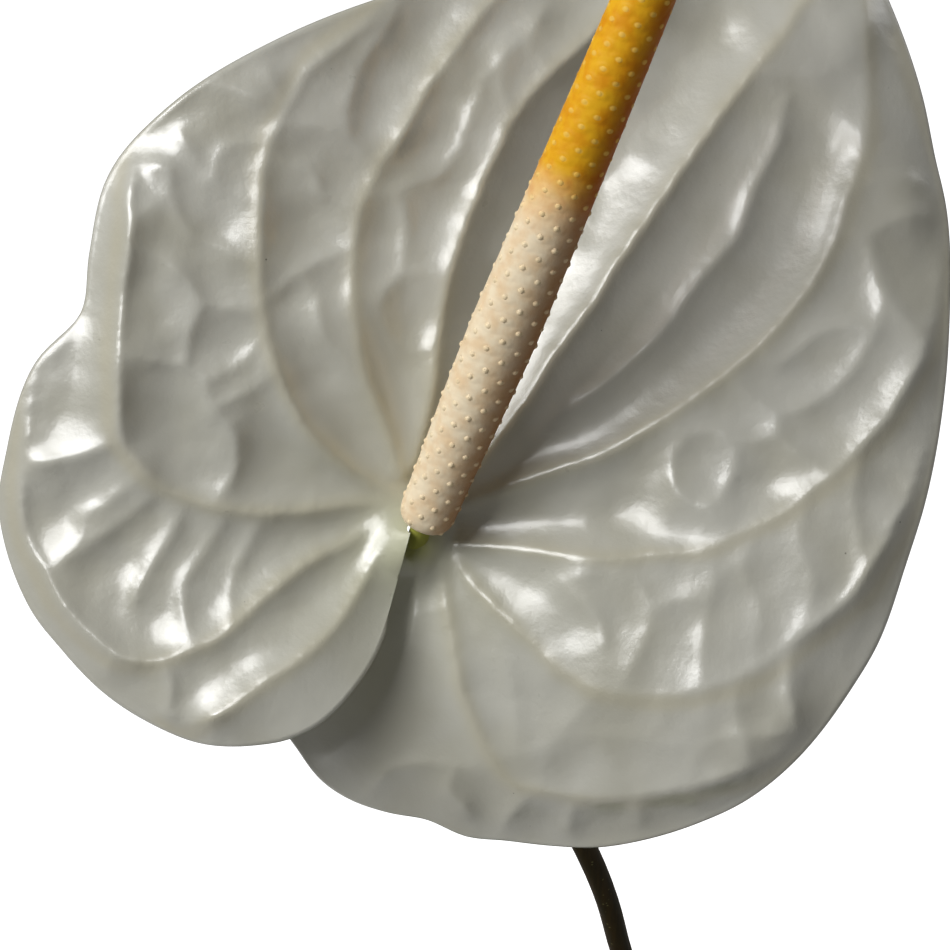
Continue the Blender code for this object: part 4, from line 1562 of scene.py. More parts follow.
@dataclass
class FlowerStem:
    """The long stem, from the crown through the spathe's neck to the foot of the spadix."""

    place: BloomPlace
    spadix: Spadix
    radius: float = 2.1 * MM
    base_radius: float = 2.9 * MM
    head_taper: float = 0.6 * MM
    bearing: float = math.radians(132)
    lean: Vector = field(default_factory=lambda: Vector((-0.1, 0.22, 0.97)))
    way: tuple[tuple[float, float, float], ...] = ((36.9, 4.2, -114.8), (28.6, 2.3, -79.7))
    bend: float = 9 * MM

    def line(self) -> list[Vector]:
        """Draws the stem's middle.

        Returns:
            Its points, from the crown up.
        """
        node, direction = self.place.node(), self.spadix.direction()
        head = self.spadix.head()
        foot = level(self.bearing) * STALK_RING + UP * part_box("crown")[1].z
        heel = foot + UP * HEEL
        low, middle = (node + Vector(step) * MM for step in self.way)
        run = (low - heel).length
        along = (middle - low).normalized()
        lower = [foot] + bezier(heel, heel + self.lean * run * 0.4, low - along * run * 0.35, low, 9)
        climb = (node - middle).normalized()
        neck, bend = node - climb * self.bend, head - direction * MM
        reach = self.bend * 0.55
        bow = bezier(neck, neck + climb * reach, bend - direction * reach, bend, 6)
        return lower + [middle] + bow + [head + direction * MM]

    def build(self) -> None:
        """Builds the stem."""
        points = [Vector(p) for p in spline(self.line(), 8)]
        low = points[0].z
        taper = [float(ease(low, low + self.place.rise * 0.4, p.z)) for p in points]
        radii = [self.base_radius + (self.radius - self.base_radius) * t for t in taper]
        top = len(radii) - 1
        radii = [r - self.head_taper * float(ease(top - 60, top - 20, k)) for k, r in enumerate(radii)]
        piece = Bench.tube("bloom_stem", points, radii, 6)
        tip_from = self.place.node().z - 8 * MM
        # The stem's colours are partly its own dark olive and partly painted shade for the spathe's shadow over
        # it.
        finish = StalkFinish("bloom_stem_shaded_olive", paint(54, 40, 8), paint(36, 28, 4), 0.55, tip_from=tip_from)
        Bench.deliver(piece, finish.material(), "stem_green", "flower_stem")


# ---------------------------------------------------------------- the leaves


LEAF_EDGE = [
    (0, 1.0), (4, 0.9), (10, 0.8), (20, 0.69), (36, 0.575), (56, 0.505), (78, 0.46), (102, 0.435),
    (126, 0.405), (146, 0.365), (160, 0.3), (167, 0.2), (169, 0.09),
]


@dataclass(frozen=True)
class LeafPlace:
    """Where a leaf stands, in degrees and millimetres. A bearing of 0 is +X, and -90 is the front."""

    bearing: float
    reach: float
    rise: float
    length: float
    pitch: float
    roll: float

    def frame(self) -> Matrix:
        """Places the blade.

        Returns:
            The placement whose X points to its tip and whose Z is its upper face.
        """
        outward, pitch = level(math.radians(self.bearing)), math.radians(self.pitch)
        base = outward * self.reach * MM + UP * (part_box("crown")[1].z + self.rise * MM)
        along = outward * math.cos(pitch) - UP * math.sin(pitch)
        front = outward * math.sin(pitch) + UP * math.cos(pitch)
        return placement(base, along, Matrix.Rotation(math.radians(self.roll), 3, along) @ front)


LEAF_PLACES = [
    LeafPlace(-80, 64, 142, 122, 40, 6),
    LeafPlace(-30, 72, 168, 126, 36, -8),
    LeafPlace(14, 78, 124, 112, 44, 10),
    LeafPlace(62, 60, 56, 80, 32, 0),
    LeafPlace(178, 70, 112, 108, 42, -8),
    LeafPlace(-132, 70, 92, 112, 34, 8),
]


@dataclass
class LeafBlade(Blade):
    """A heart-shaped green blade: a trough along the midrib, sunk side veins and a waved margin."""

    length: float = 110.0
    low: float = -169.0
    high: float = 169.0
    thickness: float = 0.6
    neck_radius: float = 1.6
    rings: int = 64
    spacing: float = 1.15
    back_share: int = 2
    droop: float = 0.2
    trough: float = 0.22
    trough_round: float = 0.06
    vein_swell: float = 1.0
    vein_sink: float = 0.35
    midrib_sink: float = 0.7
    midrib_ridge: float = 0.3
    midrib_under: float = 1.1
    wave: float = 0.035
    waves: int = 5
    vein_lean: float = 0.5
    vein_curl: float = 0.0045
    vein_count: int = 9
    lobe_step: float = 21.0

    def edge(self, turn: np.ndarray) -> np.ndarray:
        """Reads the outline.

        Args:
            turn: The angles from the tip's line, in degrees.

        Returns:
            The margin's distances from the stalk there.
        """
        angles = np.radians([a for a, _ in LEAF_EDGE])
        reach = np.array([r for _, r in LEAF_EDGE])
        run = spline(np.stack([np.cos(angles) * reach, np.sin(angles) * reach], 1), 10)
        turns = np.degrees(np.arctan2(run[:, 1], run[:, 0]))
        return np.interp(np.abs(turn), turns, np.hypot(run[:, 0], run[:, 1])) * self.length

    def veins(self, along: np.ndarray, across: np.ndarray) -> tuple[np.ndarray, np.ndarray]:
        """Returns how near each point is to a side vein, and how far it is between two of them.

        Args:
            along: The points' distances towards the tip.
            across: Their distances from the midrib's line.

        Returns:
            The nearness, from 0 to 1, and the swell, from 0 on a vein to 1 halfway.
        """
        across = np.abs(across)
        start = along - self.vein_lean * across - self.vein_curl * across**2
        spacing = self.length / self.vein_count
        away = np.hypot(along, across)
        border = np.degrees(np.arctan2(across, self.vein_lean * across + self.vein_curl * across**2))
        past = np.degrees(np.arctan2(across, along)) - border
        phase = np.where(start > 0, start / spacing, -past / self.lobe_step)
        off = np.abs(phase - np.round(phase))
        width = np.where(start > 0, spacing * 0.85, np.radians(self.lobe_step) * away)
        return np.exp(-((off * width / 0.55) ** 2)), np.sin(np.pi * off) ** 2

    def points(self, turn: np.ndarray, share: np.ndarray, back: bool) -> np.ndarray:
        """Places points of the blade in the leaf's frame.

        Args:
            turn: Their angles from the tip's line.
            share: How far out they are, from 0 at the stalk to 1 at the margin.
            back: True for the back face.

        Returns:
            The points.
        """
        angle = np.radians(turn)
        ray = np.stack([np.cos(angle), np.sin(angle)], 1)
        start, rim = ray * self.neck_radius, ray * (self.edge(turn) - self.thickness / 2)[:, None]
        flat = start + (rim - start) * share[:, None]
        along, across = flat[:, 0], flat[:, 1]
        size = self.length
        fold = np.hypot(across, size * self.trough_round) - size * self.trough_round
        fall = self.droop * np.maximum(0, along) ** 2 / size
        ripple = self.wave * size * np.sin(self.waves * angle) * share**3
        height = self.trough * fold * (1 - 0.6 * share**2) - fall + ripple
        near, swell = self.veins(along, across)
        body = ease(0.02, 0.2, share) * ease(1.0, 0.86, share)
        midrib = np.exp(-((across / 1.3) ** 2)) * ease(-2, 4, along)
        quilt = self.vein_swell * swell * ease(2, 9, np.abs(across)) - self.vein_sink * near
        height = height + body * quilt - self.midrib_sink * midrib
        height = height + self.midrib_ridge * np.exp(-((across / 0.5) ** 2)) * ease(-2, 4, along)
        if back:
            height = height - self.thickness - self.midrib_under * midrib * (1 - 0.7 * share)
        return np.column_stack([flat, height])

    def build(self, name: str, frame_of: Matrix, finish: bpy.types.Material, node: str) -> None:
        """Builds the blade.

        Args:
            name: The piece's name.
            frame_of: The leaf's placement.
            finish: Its material.
            node: The CAD node that it stands for.
        """
        points, faces, turn, under = self.mesh()
        near, _ = self.veins(points[:, 0], points[:, 1])
        midrib = np.exp(-((points[:, 1] / 0.8) ** 2)) * ease(-2, 4, points[:, 0])
        inner = 1 - np.hypot(points[:, 0], points[:, 1]) / self.edge(turn)
        margin = ease(0.012, 0.0, inner) * 0.5
        piece = Bench.from_arrays(name, points * MM, faces)
        Bench.number(piece, "vein", np.maximum(np.maximum(near * 0.6, midrib), margin))
        Bench.number(piece, "under", under)
        piece.data.transform(frame_of)
        Bench.deliver(piece, finish, "leaf_green", node, sharp=70)


@dataclass
class LeafStalk:
    """A leaf's stalk, swollen at its foot and at the joint under the blade."""

    radius: float = 2.1 * MM
    lean: float = 0.18
    foot_swell: float = 0.45
    joint_swells: tuple[float, ...] = (1.1, 1.35, 1.35, 1.05)
    blade_gap: float = 1.0 * MM

    def build(self, name: str, place: LeafPlace, finish: bpy.types.Material, node: str) -> None:
        """Builds the stalk.

        Args:
            name: The piece's name.
            place: Where the leaf stands.
            finish: Its material.
            node: The CAD node that it stands for.
        """
        blade = place.frame()
        front, outward = blade.col[2].to_3d(), level(math.radians(place.bearing))
        foot = outward * STALK_RING + UP * (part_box("crown")[1].z - MM)
        heel = foot + UP * (HEEL + MM)
        head = blade.translation - front * self.blade_gap
        run = (head - heel).length
        lean = (UP + outward * self.lean).normalized()
        points = [foot] + bezier(heel, heel + lean * run * 0.45, head - front * run * 0.3, head, 11)
        plain = len(points) - len(self.joint_swells)
        swells = [1 + self.foot_swell * max(0, 1 - step / 5) for step in range(plain)]
        radii = [self.radius * swell for swell in (*swells, *self.joint_swells)]
        fine = spline([(*point, radius) for point, radius in zip(points, radii)], 6)
        piece = Bench.tube(name, [Vector(p[:3]) for p in fine], [float(p[3]) for p in fine], 4)
        Bench.deliver(piece, finish, "stem_green", node)


@dataclass
class Foliage:
    """All the open leaves."""

    places: Sequence[LeafPlace] = tuple(LEAF_PLACES)

    def build(self) -> None:
        """Builds each leaf's stalk and blade."""
        blade_finish = LeafFinish().material()
        stalk_finish = StalkFinish("leaf_stalk_green", paint(74, 104, 44), paint(52, 78, 34)).material()
        for number, place in enumerate(self.places, 1):
            LeafStalk().build(f"stalk_of_leaf_{number}", place, stalk_finish, f"leaf_stem_{number}")
            blade = LeafBlade(length=place.length)
            blade.build(f"blade_of_leaf_{number}", place.frame(), blade_finish, f"leaf_blade_{number}")


@dataclass
class YoungLeaf:
    """The newest leaf, still rolled round itself, on its own upright stalk."""

    stem_length: float = 62 * MM
    stem_radius: float = 1.7 * MM
    roll_length: float = 74 * MM
    roll_radius: float = 3.6 * MM
    swells: tuple[float, ...] = (0.5, 0.82, 1.0, 1.0, 0.9, 0.74, 0.54, 0.34, 0.12)
    sides: int = 40
    rows: int = 96
    lap: float = 0.2
    twist: float = 1.6
    lean: Vector = field(default_factory=lambda: Vector((0.06, -0.1, 1)))

    def build(self) -> None:
        """Builds the stalk and the roll."""
        finish = YoungFinish().material()
        foot = UP * (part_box("crown")[1].z - MM)
        head = foot + UP * 1.3 * MM + self.lean.normalized() * self.stem_length
        points = bezier(foot, foot + UP * self.stem_length * 0.4, head.lerp(foot, 0.3), head, 24)
        stalk = Bench.tube("stalk_of_young_leaf", points, [self.stem_radius] * len(points), 4)
        Bench.deliver(stalk, finish, "young_green", "young_leaf_stem")
        direction = (points[-1] - points[-2]).normalized()
        self.roll(head - direction * MM, direction, finish)

    def roll(self, start: Vector, direction: Vector, finish: bpy.types.Material) -> None:
        """Builds the rolled blade, whose free edge winds round it as a fine step.

        Args:
            start: The roll's lower end.
            direction: The way that it points.
            finish: Its material.
        """
        swell = spline([(s,) for s in self.swells], 12)[:, 0]
        points = [[0, 0, 0]]
        for row in range(self.rows + 1):
            share = row / self.rows
            girth = self.roll_radius * float(np.interp(share, np.linspace(0, 1, len(swell)), swell))
            for side in range(self.sides):
                lap = 1 + self.lap * (side / (self.sides - 1) - 0.7)
                out = level(math.tau * side / self.sides + self.twist * share) * girth * lap
                points.append([*out[:2], share * (self.roll_length + MM)])
        points.append([0, 0, self.roll_length + 1.4 * MM])
        faces = ringed(self.sides, self.rows + 1)
        piece = Bench.from_arrays("roll_of_young_leaf", np.array(points), faces)
        turn = direction.to_track_quat("Z", "Y").to_matrix().to_4x4()
        piece.data.transform(Matrix.Translation(start) @ turn)
        Bench.deliver(piece, finish, "young_green", "young_leaf_roll", sharp=40)


# ---------------------------------------------------------------- the pot and what stands in it


@dataclass
class Pot:
    """The plain tapered clay pot, with its collar and the drain holes in its floor."""

    base_radius: float = 50 * MM
    neck_radius: float = 66 * MM
    wall: float = 6 * MM
    floor: float = 8 * MM
    collar_height: float = 32 * MM
    collar_step: float = 6 * MM
    edge_round: float = 2 * MM
    drain_radius: float = 5 * MM
    drain_ring: float = 26 * MM
    drains: int = 3
    hub: float = 4 * MM
    foot_ring: float = 30 * MM
    sides: int = 128

    def inner(self, height: float) -> float:
        """Returns the inner radius at a height."""
        slope = (self.neck_radius - self.base_radius) / (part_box("pot")[1].z - self.collar_height)
        return self.base_radius + slope * height - self.wall

    def profile(self) -> list[tuple[float, float]]:
        """Draws the wall, from the middle of the foot round to the middle inside.

        Returns:
            Its stations, as (radius, height).
        """
        height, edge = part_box("pot")[1].z, self.edge_round
        neck = height - self.collar_height
        rim = self.inner(height) + self.wall + self.collar_step
        collar = self.neck_radius + self.collar_step
        return [
            (self.hub, 0), (self.foot_ring, 0), (self.base_radius - edge, 0), (self.base_radius, edge),
            (self.neck_radius, neck), (collar - edge / 2, neck), (collar, neck + edge),
            (rim, height - edge), (rim - edge, height), (self.inner(height) + edge, height),
            (self.inner(height), height - edge), (self.inner(self.floor + edge), self.floor + edge),
            (self.inner(self.floor) - edge, self.floor), (self.foot_ring, self.floor), (self.hub, self.floor),
        ]

    def build(self) -> None:
        """Builds the pot."""
        stations = self.profile()
        fine = [stations[0]]
        for (r0, h0), (r1, h1) in zip(stations, stations[1:]):
            steps = max(1, int(math.hypot(r1 - r0, h1 - h0) / (6 * MM)))
            fine += [(r0 + (r1 - r0) * k / steps, h0 + (h1 - h0) * k / steps) for k in range(1, steps + 1)]
        pot = Bench.lathe("clay_pot", fine, self.sides)
        for index in range(self.drains):
            place = level(math.tau * index / self.drains) * self.drain_ring
            Bench.clear()
            bpy.ops.mesh.primitive_cylinder_add(
                vertices=32, radius=self.drain_radius, depth=3 * self.floor, location=place
            )
            drill = bpy.context.object
            Bench.modify(pot, "BOOLEAN", object=drill)
            bpy.data.objects.remove(drill)
        Bench.modify(
            pot, "BEVEL", width=0.7 * MM, segments=3, limit_method="ANGLE", angle_limit=math.radians(28)
        )
        Bench.shift(pot, self.uneven)
        Bench.deliver(pot, ClayFinish().material(), "clay", "pot", sharp=40)

    def uneven(self, points: np.ndarray) -> np.ndarray:
        """Makes the wall look hand-thrown: a little out of round and faintly ribbed.

        Args:
            points: Its points.

        Returns:
            Their new places.
        """
        angle = np.arctan2(points[:, 1], points[:, 0])
        height = points[:, 2]
        sway = 0.12 * MM * np.sin(2 * angle + 1 + height * 9) + 0.08 * MM * np.sin(3 * angle - height * 25)
        ribs = 0.05 * MM * np.sin(height / MM * 1.1 + 0.6 * np.sin(angle))
        out = np.hypot(points[:, 0], points[:, 1])
        share = (sway + ribs) * ease(36 * MM, 46 * MM, out) / np.maximum(out, MM)
        moved = points.copy()
        moved[:, :2] *= (1 + share - 0.0025)[:, None]
        return moved


@dataclass
class PottingMix:
    """The bark-based mix: a lumpy bed with loose chips, fibres of soil and white grains on it."""

    pot: Pot
    below_rim: float = 14 * MM
    mound: float = 4 * MM
    chips: int = 330
    grains: int = 90
    sides: int = 96

    def top(self, away: float) -> float:
        """Shapes the bed's mound.

        Args:
            away: The distance from the middle.

        Returns:
            The bed's height there.
        """
        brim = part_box("pot")[1].z - self.below_rim
        outer = self.pot.inner(brim)
        middle = outer - self.below_rim
        if away > middle:
            return brim + self.mound / 2 * (outer - away) / (outer - middle)
        share = (middle - away) / (middle - CROWN_RADIUS)
        return brim + self.mound / 2 * (1 + min(1.0, max(0.0, share)))

    def build(self) -> None:
        """Builds the bed, the chips and the grains."""
        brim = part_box("pot")[1].z - self.below_rim
        foot = self.pot.floor + 0.3 * MM
        outer = self.pot.inner(brim)
        profile = [(6 * MM, foot), (self.pot.inner(foot) - 3 * MM, foot), (outer - 0.4 * MM, brim - 1 * MM)]
        steps = 24
        for step in range(steps + 1):
            away = (outer - 0.6 * MM) * (1 - step / steps) + 6 * MM * step / steps
            profile.append((away, self.top(away)))
        bed = Bench.lathe("mix_bed", profile, self.sides)
        Bench.shift(bed, self.lumpy)
        soil = GrainyFinish("mix_soil", paint(38, 27, 20), paint(88, 64, 44), 1.8 * MM, 0.7 * MM)
        Bench.deliver(bed, soil.material(), "potting_mix", "potting_mix", sharp=180)
        bark = GrainyFinish(
            "mix_bark", paint(62, 38, 24), paint(134, 92, 60), 0.9 * MM, 0.35 * MM, (1, 1, 0.3)
        )
        self.strew("bark_chips", self.chips, (3.6, 2.2, 1.2), 21, bark.material())
        pumice = GrainyFinish("white_grains", paint(196, 192, 182), paint(232, 230, 222), 0.5 * MM, 0.2 * MM)
        self.strew("white_grains", self.grains, (1.3, 1.1, 1.0), 22, pumice.material())

    @staticmethod
    def lumpy(points: np.ndarray) -> np.ndarray:
        """Raises soft lumps in the bed's top.

        Args:
            points: The bed's points.

        Returns:
            Their new places.
        """
        moved = points.copy()
        x, y = points[:, 0] / MM, points[:, 1] / MM
        lumps = np.sin(x * 0.9 + np.sin(y * 0.55)) * np.sin(y * 0.8 + np.sin(x * 0.6))
        lumps = lumps + 0.6 * np.sin(x * 2.1 + y * 0.7) * np.sin(y * 1.9 - x * 0.5)
        high = points[:, 2] > points[:, 2].max() - 6 * MM
        moved[:, 2] += high * lumps * 0.5 * MM
        return moved

    def strew(
        self, name: str, count: int, size: tuple[float, float, float], seed: int, finish: bpy.types.Material
    ) -> None:
        """Strews one kind of chip over the bed.

        Args:
            name: The piece's name.
            count: How many chips there are.
            size: A chip's half sizes, in millimetres.
            seed: Seeds their places.
            finish: Their material.
        """
        chance = np.random.default_rng(seed)
        shapes = [self.chip(f"{name}_{k}", size, chance) for k in range(5)]
        outer = self.pot.inner(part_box("pot")[1].z - self.below_rim) - 4 * MM
        places = []
        for _ in range(count):
            away = math.sqrt(chance.uniform((CROWN_RADIUS + 3 * MM) ** 2, outer**2))
            angle = chance.uniform(0, math.tau)
            where = level(angle) * away
            where.z = self.top(away) + chance.uniform(-0.3, 0.9) * MM
            tumble = Matrix.Rotation(chance.uniform(0, math.tau), 4, "Z")
            tumble = tumble @ Matrix.Rotation(chance.normal(0, 0.45), 4, "X")
            tumble = tumble @ Matrix.Rotation(chance.normal(0, 0.45), 4, "Y")
            scale = Matrix.Scale(float(np.exp(chance.normal(0, 0.28))), 4)
            places.append(Matrix.Translation(where) @ tumble @ scale)
        piece = Bench.scattered(name, shapes, places)
        Bench.deliver(piece, finish, "potting_mix", sharp=35)

    @staticmethod
    def chip(name: str, size: tuple[float, float, float], chance: np.random.Generator) -> bpy.types.Object:
        """Makes one broken chip of a few dozen faces.

        Args:
            name: Its name.
            size: Its half sizes, in millimetres.
            chance: Draws its dents.

        Returns:
            The chip, at the origin.
        """
        Bench.clear()
        bpy.ops.mesh.primitive_cube_add(size=2 * MM)
        made = bpy.context.object
        made.name = name
        bpy.ops.object.mode_set(mode="EDIT")
        bpy.ops.mesh.select_all(action="SELECT")
        bpy.ops.mesh.subdivide(number_cuts=1)
        bpy.ops.object.mode_set(mode="OBJECT")
        for vertex in made.data.vertices:
            pull = Vector(chance.normal(0, 0.16, 3)) * MM
            rounder = 1 - 0.13 * (vertex.co.length / MM - 1)
            vertex.co = Vector([(c * rounder + d) * s for c, d, s in zip(vertex.co, pull, size)])
        return made


@dataclass
class Crown:
    """The short woody stem, ringed with the scars of old leaves."""

    radius: float = CROWN_RADIUS
    edge: float = 2 * MM
    ring_depth: float = 0.035
    steps: int = 24

    def build(self) -> None:
        """Builds the crown."""
        low, high = (corner.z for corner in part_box("crown"))
        middle = (low + high) / 2
        profile = [(3 * MM, low), (self.radius * 0.8, low), (self.radius, middle)]
        for step in range(1, self.steps + 1):
            height = middle + (high - self.edge - middle) * step / self.steps
            ring = abs(math.sin(step * math.pi / 4)) ** 0.5
            profile.append((self.radius * (1 - self.ring_depth * (1 - ring)), height))
        profile += [
            (self.radius - 0.6 * self.edge, high - 0.4 * self.edge), (self.radius - 1.6 * self.edge, high),
            (self.radius * 0.6, high - 0.2 * MM), (3 * MM, high - 0.1 * MM),
        ]
        crown = Bench.lathe("woody_crown", profile, 96)
        Bench.shift(crown, self.gnarled)
        bark = GrainyFinish(
            "woody_crown_bark", paint(92, 84, 46), paint(140, 134, 82), 1.1 * MM, 0.5 * MM, (1, 1, 2.2)
        )
        Bench.deliver(crown, bark.material(), "crown_bark", "crown", sharp=60)

    @staticmethod
    def gnarled(points: np.ndarray) -> np.ndarray:
        """Makes the crown a little out of round.

        Args:
            points: Its points.

        Returns:
            Their new places.
        """
        angle, height = np.arctan2(points[:, 1], points[:, 0]), points[:, 2] / MM
        swell = 0.02 * np.sin(3 * angle + height * 0.2) + 0.012 * np.sin(7 * angle - height * 0.5)
        moved = points.copy()
        moved[:, :2] *= (0.97 + swell)[:, None]
        return moved


@dataclass
class Sheaths:
    """The dry papery sheaths that stand round the crown."""

    bearings: tuple[float, ...] = (-52, 54, 156, -104)
    heights: tuple[float, ...] = (34 * MM, 28 * MM, 31 * MM, 25 * MM)
    gap: float = 1.1 * MM
    thickness: float = 0.45 * MM
    half_angle: float = math.radians(15)
    flare: float = 7 * MM
    rows: int = 40
    columns: int = 24

    def build(self) -> None:
        """Builds each sheath."""
        paper = GrainyFinish(
            "sheath_paper", paint(112, 74, 40), paint(178, 138, 90), 0.9 * MM, 0.12 * MM, (1, 1, 0.12), 0.75
        ).material()
        for number, (bearing, height) in enumerate(zip(self.bearings, self.heights), 1):
            self.one(number, math.radians(bearing), height, paper)

    def one(self, number: int, bearing: float, height: float, paper: bpy.types.Material) -> None:
        """Builds one sheath, with a ragged top edge.

        Args:
            number: Its number.
            bearing: The way that it stands from the crown, in radians.
            height: Its height.
            paper: Its material.
        """
        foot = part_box(f"sheath_{number}")[0].z
        chance = np.random.default_rng(30 + number)
        torn = chance.uniform(0, 0.08, self.columns // 2 + 1)
        ragged = np.interp(np.arange(self.columns + 1), np.arange(0, self.columns + 1, 2), torn)
        skins = []
        for inner in (0.0, self.thickness):
            for row in range(self.rows + 1):
                share = row / self.rows
                half = self.half_angle * (1 - 0.8 * share * share)
                for column in range(self.columns + 1):
                    across = 2 * column / self.columns - 1
                    out = CROWN_RADIUS + self.gap + self.flare * share**1.5 - inner
                    out += 0.5 * MM * math.sin(9 * across + number) * share - 1.1 * MM * across**2 * share
                    turn = bearing + half * across
                    rise = height * share * (1 - ragged[column] * share**4)
                    skins.append((out * math.cos(turn), out * math.sin(turn), foot + rise))
        wide, one_skin = self.columns + 1, (self.rows + 1) * (self.columns + 1)
        faces = []
        for row in range(self.rows):
            for column in range(self.columns):
                a, b = row * wide + column, row * wide + column + 1
                faces.append((a, b, b + wide, a + wide))
                faces.append((a + one_skin + wide, b + one_skin + wide, b + one_skin, a + one_skin))
        loop = list(range(self.columns))
        loop += [row * wide + self.columns for row in range(self.rows)]
        loop += [self.rows * wide + column for column in range(self.columns, 0, -1)]
        loop += [row * wide for row in range(self.rows, 0, -1)]
        for here, after in zip(loop, loop[1:] + loop[:1]):
            faces.append((after, here, here + one_skin, after + one_skin))
        piece = Bench.from_arrays(f"paper_sheath_{number}", np.array(skins), faces)
        Bench.deliver(piece, paper, "sheath_brown", f"sheath_{number}", sharp=60)


@dataclass
class AerialRoots:
    """The roots that leave the crown's side and turn down into the mix."""

    bearings: tuple[float, ...] = (5, 108, -158)
    reaches: tuple[float, ...] = (13 * MM, 10 * MM, 15 * MM)
    radius: float = 2 * MM
    steps: int = 28

    def build(self) -> None:
        """Builds each root."""
        skin = GrainyFinish(
            "root_skin", paint(150, 132, 88), paint(196, 182, 136), 1.2 * MM, 0.15 * MM, roughness=0.7
        ).material()
        for number, (bearing, reach) in enumerate(zip(self.bearings, self.reaches), 1):
            low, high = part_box(f"aerial_root_{number}")
            outward = level(math.radians(bearing))
            start = outward * (CROWN_RADIUS - 1.2 * MM) + UP * (high.z - self.radius)
            end = outward * (CROWN_RADIUS + reach) + UP * low.z
            points = bezier(start, start + outward * reach * 0.8, end + UP * 4.8 * MM, end, self.steps)
            steps = range(self.steps + 1)
            knobs = [1 + 0.05 * math.sin(step * 1.3 + number) for step in steps]
            radii = [self.radius * (1 - 0.3 * step / self.steps) * knobs[step] for step in steps]
            piece = Bench.tube(f"crown_root_{number}", points, radii, 5)
            Bench.deliver(piece, skin, "root_tan", f"aerial_root_{number}")


# ---------------------------------------------------------------- the studio


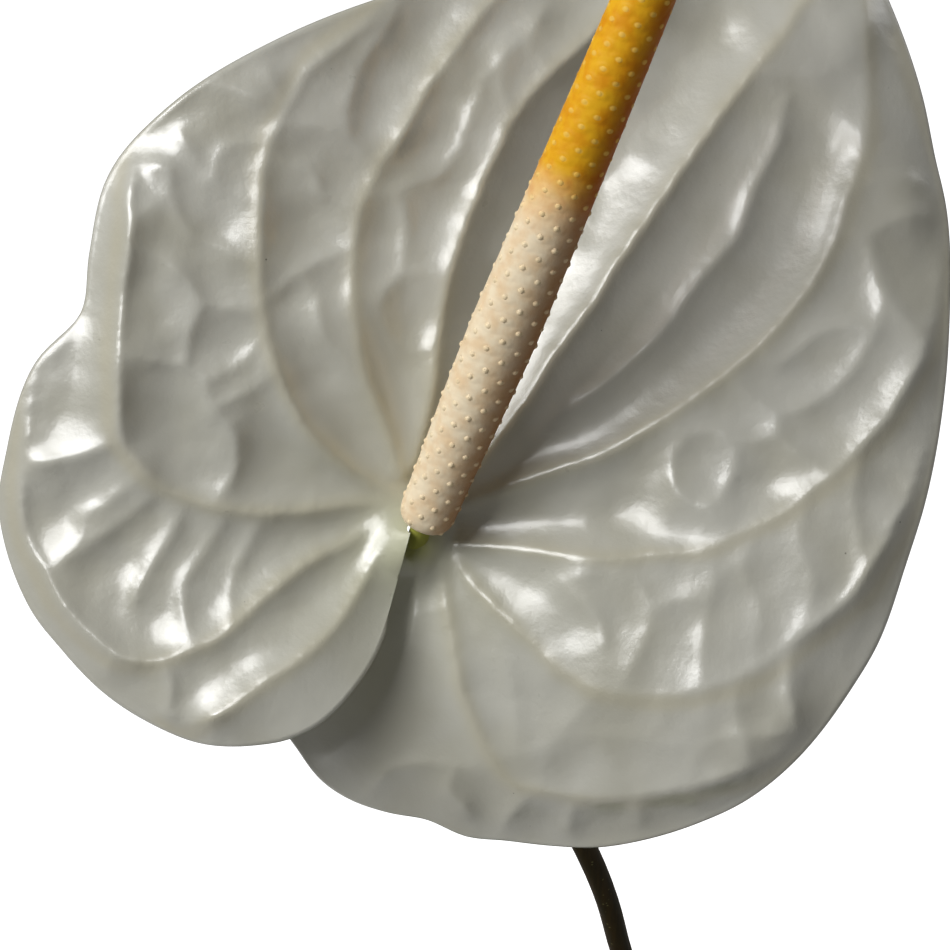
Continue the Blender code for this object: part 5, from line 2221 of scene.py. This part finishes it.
@dataclass
class Studio:
    """The floor, the soft light and the camera, which looks straight into the bloom's face."""

    place: BloomPlace
    sensor: float = 36.0
    lens: float = 61.806
    floor_half: float = 6.0
    floor_gap: float = 0.3 * MM
    glow: float = 0.92
    fill: float = 0.13
    spot_cone: float = math.radians(21)
    spot_radius: float = 0.12
    spot_height: float = 0.11

    def build(self) -> None:
        """Builds everything around the object."""
        self.floor()
        self.lights()
        self.camera()
        bpy.context.scene.view_settings.view_transform = "Standard"

    def floor(self) -> None:
        """Adds the plain white floor."""
        Bench.clear()
        bpy.ops.mesh.primitive_plane_add(size=2 * self.floor_half, location=(0, 0, -self.floor_gap))
        floor = bpy.context.object
        floor.name = "studio_floor"
        g = Graph("floor_white")
        paper = g.finish(Base_Color=paint(245, 245, 245), Roughness=0.9)
        glow = g.node("ShaderNodeEmission", {}, {"Color": (1.0, 1.0, 1.0, 1.0), "Strength": self.glow})
        seen = g.node("ShaderNodeLightPath", {}, {}, "Is Camera Ray")
        dark = g.node("ShaderNodeEmission", {}, {"Strength": 0.0})
        chosen = g.node("ShaderNodeMixShader", {}, {0: seen, 1: dark, 2: glow})
        lit = g.node("ShaderNodeAddShader", {}, {0: Value(g, g.shader.outputs[0]), 1: chosen})
        g.tree.links.new(lit.socket, g.tree.nodes["Material Output"].inputs["Surface"])
        floor.data.materials.append(paper)

    def lights(self) -> None:
        """Adds the soft light of two windows on the left and the even fill of the room."""
        node = self.place.node()
        flat = self.place.flat()
        self.softbox("key", flat @ Vector((-0.55, 0.34, 0.37)), node, size=0.34, power=2.0)
        self.softbox("window", flat @ Vector((-0.42, 0.3, 0.55)), node, size=0.36, power=2.7)
        self.softbox("rim", Vector((0.9, 0.9, 1.0)), UP * 0.25, size=0.8, power=2.5)
        self.spot("front_fill", Vector((-0.7, -1.1, 0.25)), power=24.0)
        self.spot("back_fill", Vector((0.8, 1.0, 0.3)), power=16.0)
        world = bpy.data.worlds.new("room")
        bpy.context.scene.world = world
        world.use_nodes = True
        tree = world.node_tree
        background = tree.nodes["Background"]
        background.inputs["Color"].default_value = (1.0, 0.98, 0.95, 1.0)
        background.inputs["Strength"].default_value = self.fill
        seen = tree.nodes.new("ShaderNodeBackground")
        seen.inputs["Color"].default_value = (1.0, 1.0, 1.0, 1.0)
        paths = tree.nodes.new("ShaderNodeLightPath")
        mix = tree.nodes.new("ShaderNodeMixShader")
        tree.links.new(paths.outputs["Is Camera Ray"], mix.inputs["Fac"])
        tree.links.new(background.outputs[0], mix.inputs[1])
        tree.links.new(seen.outputs[0], mix.inputs[2])
        tree.links.new(mix.outputs[0], tree.nodes["World Output"].inputs["Surface"])

    @staticmethod
    def lamp(kind: str, name: str, where: Vector, target: Vector, power: float) -> bpy.types.Object:
        """Adds a light.

        Args:
            kind: Its type.
            name: Its name.
            where: Where it hangs.
            target: What it faces.
            power: Its power, in watts.

        Returns:
            The light.
        """
        Bench.clear()
        bpy.ops.object.light_add(type=kind, location=where)
        made = bpy.context.object
        made.name = name
        made.data.energy = power
        made.rotation_euler = (where - target).to_track_quat("Z", "Y").to_euler()
        return made

    @staticmethod
    def softbox(name: str, where: Vector, target: Vector, size: float, power: float) -> None:
        """Adds a square soft light that faces a target."""
        Studio.lamp("AREA", name, where, target, power).data.size = size

    def spot(self, name: str, where: Vector, power: float) -> None:
        """Adds a narrow soft light that reaches only the pot and the leaves, and isn't mirrored in them.

        Args:
            name: Its name.
            where: Where it hangs.
            power: Its power, in watts.
        """
        lamp = self.lamp("SPOT", name, where, UP * self.spot_height, power)
        lamp.data.spot_size = self.spot_cone
        lamp.data.spot_blend = 0.6
        lamp.data.shadow_soft_size = self.spot_radius
        lamp.visible_glossy = False

    def camera(self) -> None:
        """Adds the camera."""
        Bench.clear()
        bpy.ops.object.camera_add()
        camera = bpy.context.object
        camera.name = "camera"
        camera.matrix_world = self.place.flat() @ Matrix.Translation(Vector(self.place.eye) * MM)
        camera.data.sensor_width = self.sensor
        camera.data.lens = self.lens
        camera.data.clip_start = 5 * MM
        camera.data.clip_end = 50.0
        bpy.context.scene.camera = camera


def main() -> None:
    """Builds the whole object and its studio."""
    logging.basicConfig(level=logging.INFO, format="%(message)s")
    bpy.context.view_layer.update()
    place, pot = BloomPlace(), Pot()
    spadix = Spadix(place)
    sub_assemblies = (
        Studio(place), Spathe(place=place), spadix, FlowerStem(place, spadix), Foliage(), YoungLeaf(),
        pot, PottingMix(pot), Crown(), Sheaths(), AerialRoots(),
    )
    for sub_assembly in sub_assemblies:
        sub_assembly.build()


if __name__ == "__main__":
    main()
